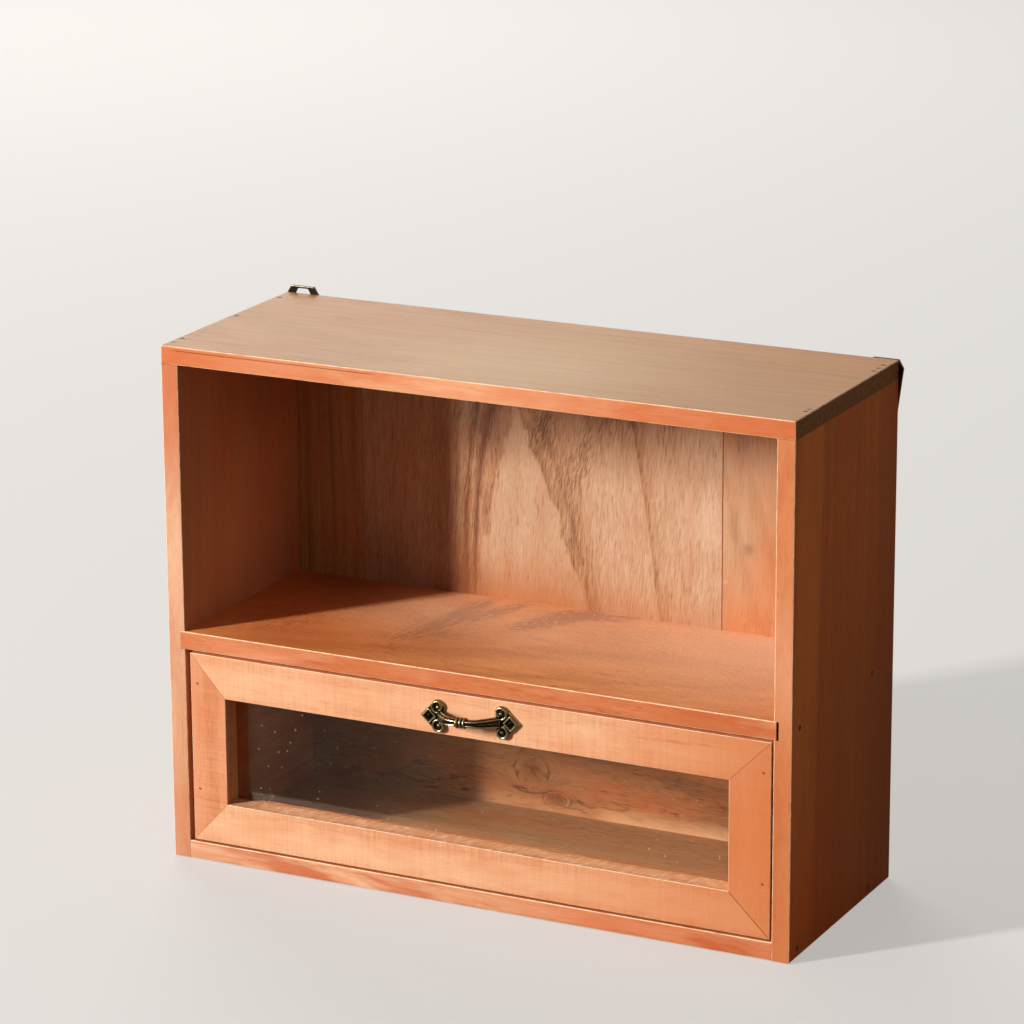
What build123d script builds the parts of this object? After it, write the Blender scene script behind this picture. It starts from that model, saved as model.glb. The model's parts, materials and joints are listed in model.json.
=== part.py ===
"""Table-top cabinet: an open compartment over one glazed drawer, built from 11 mm boards.

Millimetres. The origin is the centre of the footprint, on the surface the cabinet stands on.
+Z is up, +X is to the right, and the front faces -Y.
"""
from build123d import *
from math import atan2, cos, degrees, pi
import os

# ---- cabinet ----
WIDTH = 400.0             # over the side panels
DEPTH = 150.0             # front edge to back edge
HEIGHT = 315.0            # floor to the top panel's upper face
BOARD = 11.0              # thickness of top, sides, bottom and shelf
SHELF_UNDER = 131.0       # height of the shelf's underside
HOUSING = 3.0             # depth of the shelf's housings in the sides
SHELF_SHORT = 1.5         # how far the shelf stops short in the right housing
BACK_BOARD = 11.0         # thickness of the back boards
BACK_REBATE = 5.5         # width of the rebate in each side that the back boards lie in
BACK_SEAMS = (-143.5, 96.0)   # where the three back boards meet, from the middle
SEAM_EASE = 0.4           # small bevel on the long edges of the back boards
ARRIS = 0.7               # rounding of the exposed board edges

# ---- drawer front ----
GAP_LEFT = 3.3            # drawer front to left side panel
GAP_RIGHT = 1.2           # drawer front to right side panel
GAP_TOP = 1.6             # drawer front to shelf
GAP_BOTTOM = 1.5          # drawer front to bottom panel
TOP_RAIL = 25.8
BOTTOM_RAIL = 24.9
LEFT_STILE = 23.1
RIGHT_STILE = 25.6
FRAME_THICK = 18.0        # front frame, front to back
FRAME_EASE = 0.4          # rounding of the frame's front edges
GLASS_SET = 13.0          # front face back to the glass
GLASS_THICK = 2.0
REBATE = 5.0              # width of the glass rebate round the opening
GLASS_PLAY = 0.4          # clearance round the glass in its rebate
BEAD_WIDE = 4.6           # glazing bead, measured away from the rebate's wall

# ---- drawer box ----
SIDE_THICK = 9.0
DRAWER_BACK = 8.0
PLY = 3.0                 # drawer bottom, under the sides and the back
SIDE_DROP = 5.0           # the box's top edge, below the front's top edge
RUN_GAP = 0.3             # under the drawer, to the bottom panel
BACK_GAP = 1.0            # behind the closed drawer, to the back boards

# ---- nails, pins and screws ----
NAIL_R = 0.85             # finishing nails, whose heads are no wider than the shank
NAIL_SUNK = 0.3           # how far a head lies below the wood
PIN_R = 0.5
PIN_SUNK = 0.1
FIT = 0.03                # clearance round a nail, pin or screw
STOCK_SIDES = 8           # small round stock is drawn with this many flats
HEAD_SIDES = 16           # screw heads and rings with this many
LEAF_SIDES = 24           # and the handle's leaves with this many
NAIL_LONG = 24.0          # for boards nailed through 11 mm
TOP_NAIL_EDGE = 3.4       # top nails to the cabinet's outer faces
TOP_NAILS_LEFT = (9.6, 19.3, -67.7, -15.7)          # from the front edge, or below 0 from the back edge
TOP_NAILS_RIGHT = (21.9, 27.1, -29.6, -22.7, -14.6)
SIDE_NAILS = (11.1, -32.0)    # nails through the sides, measured the same way
BACK_NAILS_UP = (24.0, 88.0, 214.0)   # nails down each side of the back, from the floor
BACK_NAIL_SEAM = 22.0     # nails into the shelf, to the nearest seam of the back
FRONT_NAILS_UP = (32.5, 98.5)     # nails in the stiles, from the drawer front's lower edge
BOX_NAIL_EDGE = 20.0      # nails into the drawer's back, to its upper and lower edges
PLY_PIN_EDGE = (14.0, 30.0)   # pins under the sides, to the bottom's front and back edges
PLY_PIN_SIDE = 83.0       # pins under the back, to the drawer's sides
FRONT_NAIL_LONG = 32.0    # through the stiles into the drawer sides
BOX_NAIL_LONG = 20.0      # through the drawer sides into its back
PLY_PIN_LONG = 12.0

# ---- pull handle ----
PULL_X = 0.8              # middle of the handle, from the middle of the cabinet
PULL_Z = 115.7
PULL_TILT = 2.7           # degrees; it is screwed on a little askew, right end up
PULL_HALF = 32.2          # middle to the pointed tip
PULL_STAND = 12.2         # drawer front to the middle of the bar
PLATE = 1.7               # thickness of the end plates
SCROLL_X = 20.6           # centre of each scroll, out from the middle
SCROLL_Z = 5.6            # and up or down from the axis
SCROLL_R = 4.4
SCROLL_WIRE = 0.8         # half the width of the raised scroll line, which is a ridge
SCROLL_EYE = 1.1          # radius of the stud that the line curls round to
SCROLL_INSET = 0.25       # from the raised line to the leaf's edge
SCROLL_CURL = 1.6         # radius of the line where it curls back on itself
SCROLL_CURL_TURN = 170.0  # degrees that this curl turns through
BOSS_X = 26.2             # centre of the square boss that the screw goes through
BOSS_SIDE = 7.6
BOSS_STEP = 0.5           # from the diamond's edge to the raised boss
BOSS_RAISE = 0.9
BOSS_WELL = 4.2           # square well inside the boss
BAR_ROOT = 20.0           # where the bar runs out on the end plate
BAR_HALF = 2.7            # half the bar's height in the middle
BAR_DEEP = 2.4            # half the bar's thickness in the middle
BAR_SPREAD = 0.35         # how much taller the bar is where it meets the end plate
BAR_FLAT = 2.3            # the larger, the longer the flat middle of the bow
BAR_RISE = 1.3            # the bow's middle, above the axis of the end plates
BAR_STEPS = 8
BEAD_R = 3.3              # the three rings round the middle of the bar
BEAD_STEP = 2.4
BEAD_WIDTH = 1.5
PULL_SCREW_R = 1.0
PULL_SCREW_HEAD = 1.6
PULL_SCREW_LONG = 11.0

# ---- hanging plates ----
HANGER_THICK = 1.5
HANGER_TOP_HALF = 8.0     # half the width of the flat top
HANGER_HALF = 11.0        # half the width at the shoulders
HANGER_SHOULDER = 5.0     # flat top down to the shoulders
HANGER_TAIL_HALF = 6.6
HANGER_LONG = 45.0
HANGER_RIM = 1.7          # above the hanging slot
HANGER_SLOT = (14.6, 7.4)  # width and height of the hanging slot
HANGER_SLOT_LEAN = 62.0    # degrees between its ends and its lower edge
HANGER_SCREWS = (20.0, 34.0)  # screw holes, down from the flat top
HANGER_SCREW_R = 1.4
HANGER_SCREW_HEAD = 2.7
HANGER_SCREW_LONG = 10.0
HANGER_INSET = (10.7, 8.0)    # middle of the left and the right plate, in from the cabinet's sides
HANGER_RISE = (4.5, 0.3)      # how far each one stands above the top panel

# ---- planes and faces that the pieces share ----
FRONT = -DEPTH / 2
BACK = DEPTH / 2
OUTER = WIDTH / 2
INNER = OUTER - BOARD
TOP_UNDER = HEIGHT - BOARD
SHELF_TOP = SHELF_UNDER + BOARD
BACK_FACE = BACK - BACK_BOARD
DRAWER_X = (-INNER + GAP_LEFT, INNER - GAP_RIGHT)
DRAWER_Z = (BOARD + GAP_BOTTOM, SHELF_UNDER - GAP_TOP)
SIGHT_X = (DRAWER_X[0] + LEFT_STILE, DRAWER_X[1] - RIGHT_STILE)
SIGHT_Z = (DRAWER_Z[0] + BOTTOM_RAIL, DRAWER_Z[1] - TOP_RAIL)
FRAME_BACK = FRONT + FRAME_THICK
GLASS_FRONT = FRONT + GLASS_SET
BOX_END = BACK_FACE - BACK_GAP
BOX_FLOOR = BOARD + RUN_GAP + PLY
BOX_TOP = DRAWER_Z[1] - SIDE_DROP

DOWN = (0, 0, -1)
UP = (0, 0, 1)
RIGHTWARD = (1, 0, 0)
LEFTWARD = (-1, 0, 0)
INWARD = (0, 1, 0)
FORWARD = (0, -1, 0)


def block(x, y, z):
    """A solid board between two limits along each axis."""
    size = (x[1] - x[0], y[1] - y[0], z[1] - z[0])
    middle = ((x[0] + x[1]) / 2, (y[0] + y[1]) / 2, (z[0] + z[1]) / 2)
    return Pos(*middle) * Box(*size)


def edges_at(shape, run, *where):
    """The edges that run along one axis and lie at the first or last place along others."""
    found = shape.edges().filter_by(run)
    for axis, place in where:
        found = found.group_by(axis)[place]
    return found


def stock(radius, start, end, sides=STOCK_SIDES):
    """Round wire or a round head along +Z, between two heights."""
    return Pos(0, 0, start) * extrude(RegularPolygon(radius, sides), end - start)


def driven(spots, radius, long, sunk):
    """Nails or pins driven in at each spot, which is a point on the surface and a direction."""
    return [Plane(origin=at, z_dir=into).location * stock(radius, sunk, long) for at, into in spots]


def holes_for(spots, radius, long):
    """The holes that the same nails or pins fill, open at the surface."""
    return driven(spots, radius + FIT, long + FIT, -FIT)


def nails(spots, long):
    return driven(spots, NAIL_R, long, NAIL_SUNK)


def nail_holes(spots, long):
    return holes_for(spots, NAIL_R, long)


def pins(spots, long):
    return driven(spots, PIN_R, long, PIN_SUNK)


def pin_holes(spots, long):
    return holes_for(spots, PIN_R, long)


def group(solids):
    """Separate solids of one node."""
    return Compound(children=solids)


# ---- where the cabinet's nails go ----
def in_depth(place):
    """A nail's place along Y: behind the front edge, or before the back edge where it is below 0."""
    return (FRONT if place > 0 else BACK) + place


def top_nail_spots():
    left = [((-OUTER + TOP_NAIL_EDGE, in_depth(place), HEIGHT), DOWN) for place in TOP_NAILS_LEFT]
    right = [((OUTER - TOP_NAIL_EDGE, in_depth(place), HEIGHT), DOWN) for place in TOP_NAILS_RIGHT]
    return left + right


def side_nail_spots(height):
    """Nails through each side panel into the end of a board at this height."""
    spots = []
    for place in SIDE_NAILS:
        spots.append(((-OUTER, in_depth(place), height), RIGHTWARD))
        spots.append(((OUTER, in_depth(place), height), LEFTWARD))
    return spots


def back_nail_spots():
    """Nails through the back boards: down both sides, and into the shelf beside the seams."""
    edge = INNER + BACK_REBATE / 2
    spots = []
    for z in BACK_NAILS_UP:
        spots.append(((-edge, BACK, z), FORWARD))
        spots.append(((edge, BACK, z), FORWARD))
    for seam in BACK_SEAMS:
        for x in (seam - BACK_NAIL_SEAM, seam + BACK_NAIL_SEAM):
            spots.append(((x, BACK, SHELF_UNDER + BOARD / 2), FORWARD))
    return spots


TOP_NAILS = top_nail_spots()
SHELF_NAILS = side_nail_spots(SHELF_UNDER + BOARD / 2)
BOTTOM_NAILS = side_nail_spots(BOARD / 2)
BACK_NAILS = back_nail_spots()


# ---- cabinet boards ----
def top_panel():
    board = block((-OUTER, OUTER), (FRONT, BACK), (TOP_UNDER, HEIGHT))
    eased = edges_at(board, Axis.X, (Axis.Y, 0)) + edges_at(board, Axis.X, (Axis.Y, -1), (Axis.Z, -1))
    eased += edges_at(board, Axis.Y, (Axis.Z, -1)) + edges_at(board, Axis.Z, (Axis.Y, 0))
    return fillet(eased, ARRIS) - nail_holes(TOP_NAILS, NAIL_LONG)


def side_panel(side):
    """side is -1 for the left panel and +1 for the right one."""
    def across(near, far):
        return sorted((side * near, side * far))
    board = block(across(INNER, OUTER), (FRONT, BACK), (0, TOP_UNDER))
    board = fillet(edges_at(board, Axis.Z, (Axis.Y, 0)) + edges_at(board, Axis.Y, (Axis.Z, 0)), ARRIS)
    housing = block(across(INNER - 1, INNER + HOUSING), (FRONT - 1, BACK_FACE), (SHELF_UNDER, SHELF_TOP))
    rebate = block(across(INNER - 1, INNER + BACK_REBATE), (BACK_FACE, BACK + 1), (-1, TOP_UNDER + 1))
    holes = nail_holes(TOP_NAILS + SHELF_NAILS + BOTTOM_NAILS, NAIL_LONG)
    holes += nail_holes(BACK_NAILS, NAIL_LONG)
    return board - housing - rebate - holes


def bottom_panel():
    board = block((-INNER, INNER), (FRONT, BACK_FACE), (0, BOARD))
    board = fillet(edges_at(board, Axis.X, (Axis.Y, 0)), ARRIS)
    return board - nail_holes(BOTTOM_NAILS, NAIL_LONG)


def middle_shelf():
    ends = (-INNER - HOUSING, INNER + HOUSING - SHELF_SHORT)
    board = block(ends, (FRONT, BACK_FACE), (SHELF_UNDER, SHELF_TOP))
    board = fillet(edges_at(board, Axis.X, (Axis.Y, 0)), ARRIS)
    return board - nail_holes(SHELF_NAILS + BACK_NAILS, NAIL_LONG)


def back_board(left, right):
    """One upright board of the back, from the floor up to the top panel."""
    board = block((left, right), (BACK_FACE, BACK), (0, TOP_UNDER))
    board = chamfer(edges_at(board, Axis.Z, (Axis.Y, 0)), SEAM_EASE)
    return board - nail_holes(BACK_NAILS, NAIL_LONG) - hanger_screws(hole=True)


# ---- hanging plates ----
def hanger_spots():
    """Middle of each plate's flat top, on the back of the cabinet."""
    places = (-OUTER + HANGER_INSET[0], OUTER - HANGER_INSET[1])
    return [(x, BACK, HEIGHT + rise) for x, rise in zip(places, HANGER_RISE)]


def hanging_plate(spot):
    x, y, z = spot
    tail = -HANGER_LONG + HANGER_TAIL_HALF
    with BuildPart() as plate:
        with BuildSketch(Plane(origin=(x, y, z), x_dir=(1, 0, 0), z_dir=FORWARD)):
            with BuildLine():
                Polyline((-HANGER_TAIL_HALF, tail), (-HANGER_HALF, -HANGER_SHOULDER),
                         (-HANGER_TOP_HALF, 0), (HANGER_TOP_HALF, 0),
                         (HANGER_HALF, -HANGER_SHOULDER), (HANGER_TAIL_HALF, tail))
                ThreePointArc((HANGER_TAIL_HALF, tail), (0, -HANGER_LONG), (-HANGER_TAIL_HALF, tail))
            make_face()
            with Locations((0, -HANGER_RIM - HANGER_SLOT[1] / 2)):
                Trapezoid(*HANGER_SLOT, HANGER_SLOT_LEAN, mode=Mode.SUBTRACT)
            with Locations(*[(0, -down) for down in HANGER_SCREWS]):
                RegularPolygon(HANGER_SCREW_R + FIT, STOCK_SIDES, mode=Mode.SUBTRACT)
        extrude(amount=-HANGER_THICK)
    return plate.part


def domed_screw(radius, head_r, long):
    """A screw along +Z whose bevelled head stands on z = 0."""
    head = chamfer(edges_at(stock(head_r, -head_r * 0.6, 0, HEAD_SIDES), Plane.XY, (Axis.Z, 0)), head_r * 0.35)
    return head + stock(radius, 0, long)


def hanger_screws(hole=False):
    """The screws of both plates, from behind; or the holes that they make in the wood."""
    screws = []
    for x, y, z in hanger_spots():
        for down in HANGER_SCREWS:
            if hole:
                shape = stock(HANGER_SCREW_R + FIT, 0, HANGER_SCREW_LONG + FIT)
            else:
                shape = domed_screw(HANGER_SCREW_R, HANGER_SCREW_HEAD, HANGER_SCREW_LONG + HANGER_THICK)
                shape = Pos(0, 0, -HANGER_THICK) * shape
            screws.append(Plane(origin=(x, y, z - down), z_dir=FORWARD).location * shape)
    return screws


# ---- drawer ----
def front_nail_spots():
    """Nails through the stiles into the ends of the drawer's sides."""
    places = (DRAWER_X[0] + SIDE_THICK / 2, DRAWER_X[1] - SIDE_THICK / 2)
    return [((x, FRONT, DRAWER_Z[0] + up), INWARD) for x in places for up in FRONT_NAILS_UP]


def box_nail_spots():
    """Nails through the drawer's sides into the ends of its back."""
    y = BOX_END - DRAWER_BACK / 2
    heights = (BOX_FLOOR + BOX_NAIL_EDGE, BOX_TOP - BOX_NAIL_EDGE)
    left = [((DRAWER_X[0], y, z), RIGHTWARD) for z in heights]
    return left + [((DRAWER_X[1], y, z), LEFTWARD) for z in heights]


def ply_pin_spots():
    """Pins up through the drawer's bottom into its sides and back."""
    under = BOX_FLOOR - PLY
    spots = []
    for x in (DRAWER_X[0] + SIDE_THICK / 2, DRAWER_X[1] - SIDE_THICK / 2):
        for y in (FRAME_BACK + PLY_PIN_EDGE[0], BOX_END - PLY_PIN_EDGE[1]):
            spots.append(((x, y, under), UP))
    for x in (DRAWER_X[0] + PLY_PIN_SIDE, DRAWER_X[1] - PLY_PIN_SIDE):
        spots.append(((x, BOX_END - DRAWER_BACK / 2, under), UP))
    return spots


FRONT_NAILS = front_nail_spots()
BOX_NAILS = box_nail_spots()
PLY_PINS = ply_pin_spots()


def frame_member(outer_a, outer_b, inner_b, inner_a):
    """One mitred member of the front frame from its four corners, each (x, z), with the glass rebate."""
    with BuildPart() as member:
        with BuildSketch(Plane(origin=(0, FRONT, 0), x_dir=(1, 0, 0), z_dir=FORWARD)):
            with BuildLine():
                Polyline(outer_a, outer_b, inner_b, inner_a, close=True)
            make_face()
        extrude(amount=-FRAME_THICK)
    run = Axis.X if outer_a[1] == outer_b[1] else Axis.Z
    solid = fillet(edges_at(member.part, run, (Axis.Y, 0)), FRAME_EASE)
    rebate = block((SIGHT_X[0] - REBATE, SIGHT_X[1] + REBATE), (GLASS_FRONT, FRAME_BACK + 1),
                   (SIGHT_Z[0] - REBATE, SIGHT_Z[1] + REBATE))
    return solid - rebate


def front_frame():
    """The four members, mitred from corner to corner."""
    (left, right), (low, high) = DRAWER_X, DRAWER_Z
    (in_left, in_right), (in_low, in_high) = SIGHT_X, SIGHT_Z
    members = {
        "front_top_rail": ((left, high), (right, high), (in_right, in_high), (in_left, in_high)),
        "front_bottom_rail": ((left, low), (right, low), (in_right, in_low), (in_left, in_low)),
        "front_left_stile": ((left, low), (left, high), (in_left, in_high), (in_left, in_low)),
        "front_right_stile": ((right, low), (right, high), (in_right, in_high), (in_right, in_low)),
    }
    return {name: frame_member(*corners) for name, corners in members.items()}


def glass_pane():
    reach = REBATE - GLASS_PLAY
    return block((SIGHT_X[0] - reach, SIGHT_X[1] + reach), (GLASS_FRONT, GLASS_FRONT + GLASS_THICK),
                 (SIGHT_Z[0] - reach, SIGHT_Z[1] + reach))


def glazing_beads():
    """Four strips behind the glass, flush with the frame's back; the upright ones fit between."""
    x = (SIGHT_X[0] - REBATE, SIGHT_X[1] + REBATE)
    y = (GLASS_FRONT + GLASS_THICK, FRAME_BACK)
    z = (SIGHT_Z[0] - REBATE, SIGHT_Z[1] + REBATE)
    upright = (z[0] + BEAD_WIDE, z[1] - BEAD_WIDE)
    return {
        "glazing_bead_top": block(x, y, (z[1] - BEAD_WIDE, z[1])),
        "glazing_bead_bottom": block(x, y, (z[0], z[0] + BEAD_WIDE)),
        "glazing_bead_left": block((x[0], x[0] + BEAD_WIDE), y, upright),
        "glazing_bead_right": block((x[1] - BEAD_WIDE, x[1]), y, upright),
    }


def drawer_box():
    inner = (DRAWER_X[0] + SIDE_THICK, DRAWER_X[1] - SIDE_THICK)
    long = (FRAME_BACK, BOX_END)
    high = (BOX_FLOOR, BOX_TOP)
    left = block((DRAWER_X[0], inner[0]), long, high)
    right = block((inner[1], DRAWER_X[1]), long, high)
    back = block(inner, (BOX_END - DRAWER_BACK, BOX_END), high)
    bottom = block(DRAWER_X, long, (BOX_FLOOR - PLY, BOX_FLOOR))
    holes = nail_holes(BOX_NAILS, BOX_NAIL_LONG) + pin_holes(PLY_PINS, PLY_PIN_LONG)
    side_holes = holes + nail_holes(FRONT_NAILS, FRONT_NAIL_LONG)
    return {
        "drawer_left_side": fillet(edges_at(left, Axis.Y, (Axis.Z, -1)), FRAME_EASE) - side_holes,
        "drawer_right_side": fillet(edges_at(right, Axis.Y, (Axis.Z, -1)), FRAME_EASE) - side_holes,
        "drawer_back": fillet(edges_at(back, Axis.X, (Axis.Z, -1)), FRAME_EASE) - holes,
        "drawer_bottom": bottom - holes,
    }


# ---- pull handle: built round its own middle, with the drawer front at y = 0 ----
def end_plate():
    """The flat of the right-hand end: two scroll leaves, a neck and a diamond with the screw."""
    with BuildPart() as plate:
        with BuildSketch(Plane(origin=(0, 0, 0), x_dir=(1, 0, 0), z_dir=FORWARD)):
            with Locations((SCROLL_X, SCROLL_Z), (SCROLL_X, -SCROLL_Z)):
                RegularPolygon(SCROLL_R, LEAF_SIDES)
            with Locations((BOSS_X, 0)):
                Rectangle(BOSS_SIDE, BOSS_SIDE, rotation=45)
            Polygon((BOSS_X, BOSS_SIDE / 2), (PULL_HALF, 0), (BOSS_X, -BOSS_SIDE / 2), align=None)
            with Locations((SCROLL_X, 0)):
                Rectangle(SCROLL_R * 1.5, SCROLL_Z * 1.6)
        extrude(amount=PLATE)
        raised = BOSS_SIDE - 2 * BOSS_STEP
        with BuildSketch(Plane(origin=(0, -PLATE, 0), x_dir=(1, 0, 0), z_dir=FORWARD)):
            with Locations((BOSS_X, 0)):
                Rectangle(raised, raised, rotation=45)
                Rectangle(BOSS_WELL, BOSS_WELL, rotation=45, mode=Mode.SUBTRACT)
        extrude(amount=BOSS_RAISE)
    return plate.part


def scroll(up):
    """A raised line that leaves the bar, turns round the leaf and curls back on itself."""
    line_r = SCROLL_R - SCROLL_WIRE - SCROLL_INSET
    leaf = Plane(origin=(SCROLL_X, -PLATE, up * SCROLL_Z), x_dir=(1, 0, 0), z_dir=(0, -up, 0))
    with BuildLine(leaf) as path:
        turn = CenterArc((0, 0), line_r, -110, 290)
        JernArc(start=turn @ 1, tangent=turn % 1, radius=SCROLL_CURL, arc_size=SCROLL_CURL_TURN)
    with BuildSketch(Plane(origin=path.line @ 0, x_dir=FORWARD, z_dir=path.line % 0)) as wire:
        RegularPolygon(SCROLL_WIRE, 4)
    eye = Pos(*(path.line @ 1)) * Rot(90, 0, 0) * stock(SCROLL_EYE, -PLATE / 2, SCROLL_WIRE * 1.3)
    return sweep(wire.sketch, path=path.line) + eye


def bow(out):
    """How far the middle of the bar stands off the drawer, at a distance out from its centre."""
    share = (1 + cos(pi * (out / BAR_ROOT) ** BAR_FLAT)) / 2
    return PLATE * 0.7 + share * (PULL_STAND - PLATE * 0.7)


def bar_half():
    """Half of the bow, from its middle down to the end plate, lofted through ellipses."""
    sections = []
    for step in range(BAR_STEPS + 1):
        out = BAR_ROOT * step / BAR_STEPS
        ahead, behind = min(out + 0.5, BAR_ROOT), max(out - 0.5, 0)
        lean = degrees(atan2(bow(behind) - bow(ahead), ahead - behind))
        size = 1 + BAR_SPREAD * (step / BAR_STEPS) ** 3
        rise = BAR_RISE * min(1.0, bow(out) / PULL_STAND + 0.2)
        along = Vector(1, 0, 0).rotate(Axis.Z, lean)
        plane = Plane(origin=(out, -bow(out), rise), x_dir=(0, 0, 1), z_dir=along)
        sections.append(plane * Ellipse(BAR_HALF * size, BAR_DEEP))
    return loft(sections, ruled=True)


def middle_rings():
    """Three rounded rings round the middle of the bar."""
    ring = stock(BEAD_R, -BEAD_WIDTH / 2, BEAD_WIDTH / 2, HEAD_SIDES)
    rims = edges_at(ring, Plane.XY, (Axis.Z, 0)) + edges_at(ring, Plane.XY, (Axis.Z, -1))
    ring = Rot(0, 90, 0) * chamfer(rims, BEAD_WIDTH * 0.3)
    return [Pos(step * BEAD_STEP, -PULL_STAND, BAR_RISE) * ring for step in (-1, 0, 1)]


def on_drawer(shape):
    """Puts a piece built round the handle's middle on the drawer front, with the handle's tilt."""
    return Pos(PULL_X, FRONT, PULL_Z) * Rot(0, -PULL_TILT, 0) * shape


def pull_handle():
    half = bar_half() + end_plate() + [scroll(up) for up in (-1, 1)]
    whole = half + mirror(half, about=Plane.YZ) + middle_rings()
    behind = block((-PULL_HALF - 1, PULL_HALF + 1), (0, PULL_STAND), (-PULL_STAND, PULL_STAND))
    whole -= [behind] + pull_screws(hole=True)
    return on_drawer(whole)


def pull_screws(hole=False):
    """The two screws, in the wells of the bosses; or the holes that they pass through."""
    screws = []
    for side in (-1, 1):
        if hole:
            shape = stock(PULL_SCREW_R + FIT, -PLATE - FIT, PULL_SCREW_LONG + FIT)
        else:
            shape = Pos(0, 0, -PLATE) * domed_screw(PULL_SCREW_R, PULL_SCREW_HEAD, PULL_SCREW_LONG + PLATE)
        screws.append(Plane(origin=(side * BOSS_X, 0, 0), z_dir=INWARD).location * shape)
    return screws


# ---- all nodes ----
def build():
    seams = (-INNER - BACK_REBATE,) + BACK_SEAMS + (INNER + BACK_REBATE,)
    left_plate, right_plate = hanger_spots()
    nodes = {
        "top_panel": top_panel(),
        "left_side_panel": side_panel(-1),
        "right_side_panel": side_panel(1),
        "bottom_panel": bottom_panel(),
        "middle_shelf": middle_shelf(),
        "back_board_left": back_board(seams[0], seams[1]),
        "back_board_middle": back_board(seams[1], seams[2]),
        "back_board_right": back_board(seams[2], seams[3]),
        "top_nails": group(nails(TOP_NAILS, NAIL_LONG)),
        "shelf_nails": group(nails(SHELF_NAILS, NAIL_LONG)),
        "bottom_nails": group(nails(BOTTOM_NAILS, NAIL_LONG)),
        "back_nails": group(nails(BACK_NAILS, NAIL_LONG)),
        "hanging_plate_left": hanging_plate(left_plate),
        "hanging_plate_right": hanging_plate(right_plate),
        "hanging_plate_screws": group(hanger_screws()),
        "glass_pane": glass_pane(),
        "front_nails": group(nails(FRONT_NAILS, FRONT_NAIL_LONG)),
        "drawer_box_nails": group(nails(BOX_NAILS, BOX_NAIL_LONG)),
        "drawer_bottom_pins": group(pins(PLY_PINS, PLY_PIN_LONG)),
        "pull_handle": pull_handle(),
        "pull_handle_screws": group([on_drawer(screw) for screw in pull_screws()]),
    }
    frame = front_frame()
    for name in ("front_left_stile", "front_right_stile"):
        frame[name] -= nail_holes(FRONT_NAILS, FRONT_NAIL_LONG)
    frame["front_top_rail"] -= [on_drawer(hole) for hole in pull_screws(hole=True)]
    nodes.update(frame)
    nodes.update(glazing_beads())
    nodes.update(drawer_box())
    return nodes


os.makedirs("parts", exist_ok=True)
for node, shape in build().items():
    export_step(shape, f"parts/{node}.step")
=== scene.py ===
# %% [markdown]
# # A table-top cabinet: one open compartment over one glazed drawer
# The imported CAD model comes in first, as a frame that never moves. Everything below either gives one of its
# boards a finish or stands in for one of its small metal pieces. The frame is in metres, and the front faces -Y.
# %% Load the frame
import json
import math
from types import SimpleNamespace

import bmesh
import bpy
import numpy as np
from mathutils import Matrix, Vector

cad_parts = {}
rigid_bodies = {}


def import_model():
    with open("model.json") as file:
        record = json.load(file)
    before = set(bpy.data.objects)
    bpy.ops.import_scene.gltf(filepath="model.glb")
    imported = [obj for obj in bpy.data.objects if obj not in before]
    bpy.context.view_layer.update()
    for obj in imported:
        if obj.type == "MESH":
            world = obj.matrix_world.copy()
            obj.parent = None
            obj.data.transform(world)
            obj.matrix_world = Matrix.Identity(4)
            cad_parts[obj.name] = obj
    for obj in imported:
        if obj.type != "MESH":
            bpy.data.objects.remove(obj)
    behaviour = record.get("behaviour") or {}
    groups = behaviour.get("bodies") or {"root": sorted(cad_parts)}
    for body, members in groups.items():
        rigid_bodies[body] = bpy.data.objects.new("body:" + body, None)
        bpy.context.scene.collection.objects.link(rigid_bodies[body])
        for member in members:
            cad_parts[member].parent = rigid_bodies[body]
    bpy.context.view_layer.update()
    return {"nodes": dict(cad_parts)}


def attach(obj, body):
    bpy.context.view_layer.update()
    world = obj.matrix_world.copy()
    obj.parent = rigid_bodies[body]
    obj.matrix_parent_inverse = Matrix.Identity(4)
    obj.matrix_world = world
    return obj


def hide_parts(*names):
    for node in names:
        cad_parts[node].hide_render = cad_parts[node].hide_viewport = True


for left_over in list(bpy.data.objects):
    bpy.data.objects.remove(left_over)
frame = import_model()
MM = 0.001

# %% [markdown]
# ## Small helpers
# Colours are written as sRGB hex, because that is how they are read off a surface, and Blender wants linear
# numbers. One function adds a node with its settings and its inputs, so that a material reads as a list of steps.
# %% Colours and nodes


def rgb(code):
    """An sRGB hex colour as linear red, green, blue and alpha."""
    parts = [int(code[i:i + 2], 16) / 255 for i in (1, 3, 5)]
    return tuple(p / 12.92 if p <= 0.04045 else ((p + 0.055) / 1.055) ** 2.4 for p in parts) + (1.0,)


def grey(tone):
    """One number as a ramp's colour, for a ramp that is read back as a number."""
    return (tone, tone, tone, 1.0)


def add(tree, kind, inputs=None, out=0, stops=(), **settings):
    """Adds a node, sets it up, and gives back one of its outputs."""
    node = tree.nodes.new(kind)
    for name, value in settings.items():
        setattr(node, name, value)
    for key, value in (inputs or {}).items():
        if isinstance(value, bpy.types.NodeSocket):
            tree.links.new(value, node.inputs[key])
        else:
            node.inputs[key].default_value = value
    if stops:
        ramp = node.color_ramp
        ramp.elements.remove(ramp.elements[-1])
        ramp.elements[0].position, ramp.elements[0].color = stops[0]
        for place, colour in stops[1:]:
            ramp.elements.new(place).color = colour
    return node if out is None else node.outputs[out]


MATH, VECTOR, NOISE, JOIN = "ShaderNodeMath", "ShaderNodeVectorMath", "ShaderNodeTexNoise", "ShaderNodeCombineXYZ"
RANGE, MIX, RAMP, MAPPING = "ShaderNodeMapRange", "ShaderNodeMix", "ShaderNodeValToRGB", "ShaderNodeMapping"
SPLIT, PLACE = "ShaderNodeSeparateXYZ", "ShaderNodeTexCoord"
print("one function adds every node below")

# %% Materials


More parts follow.
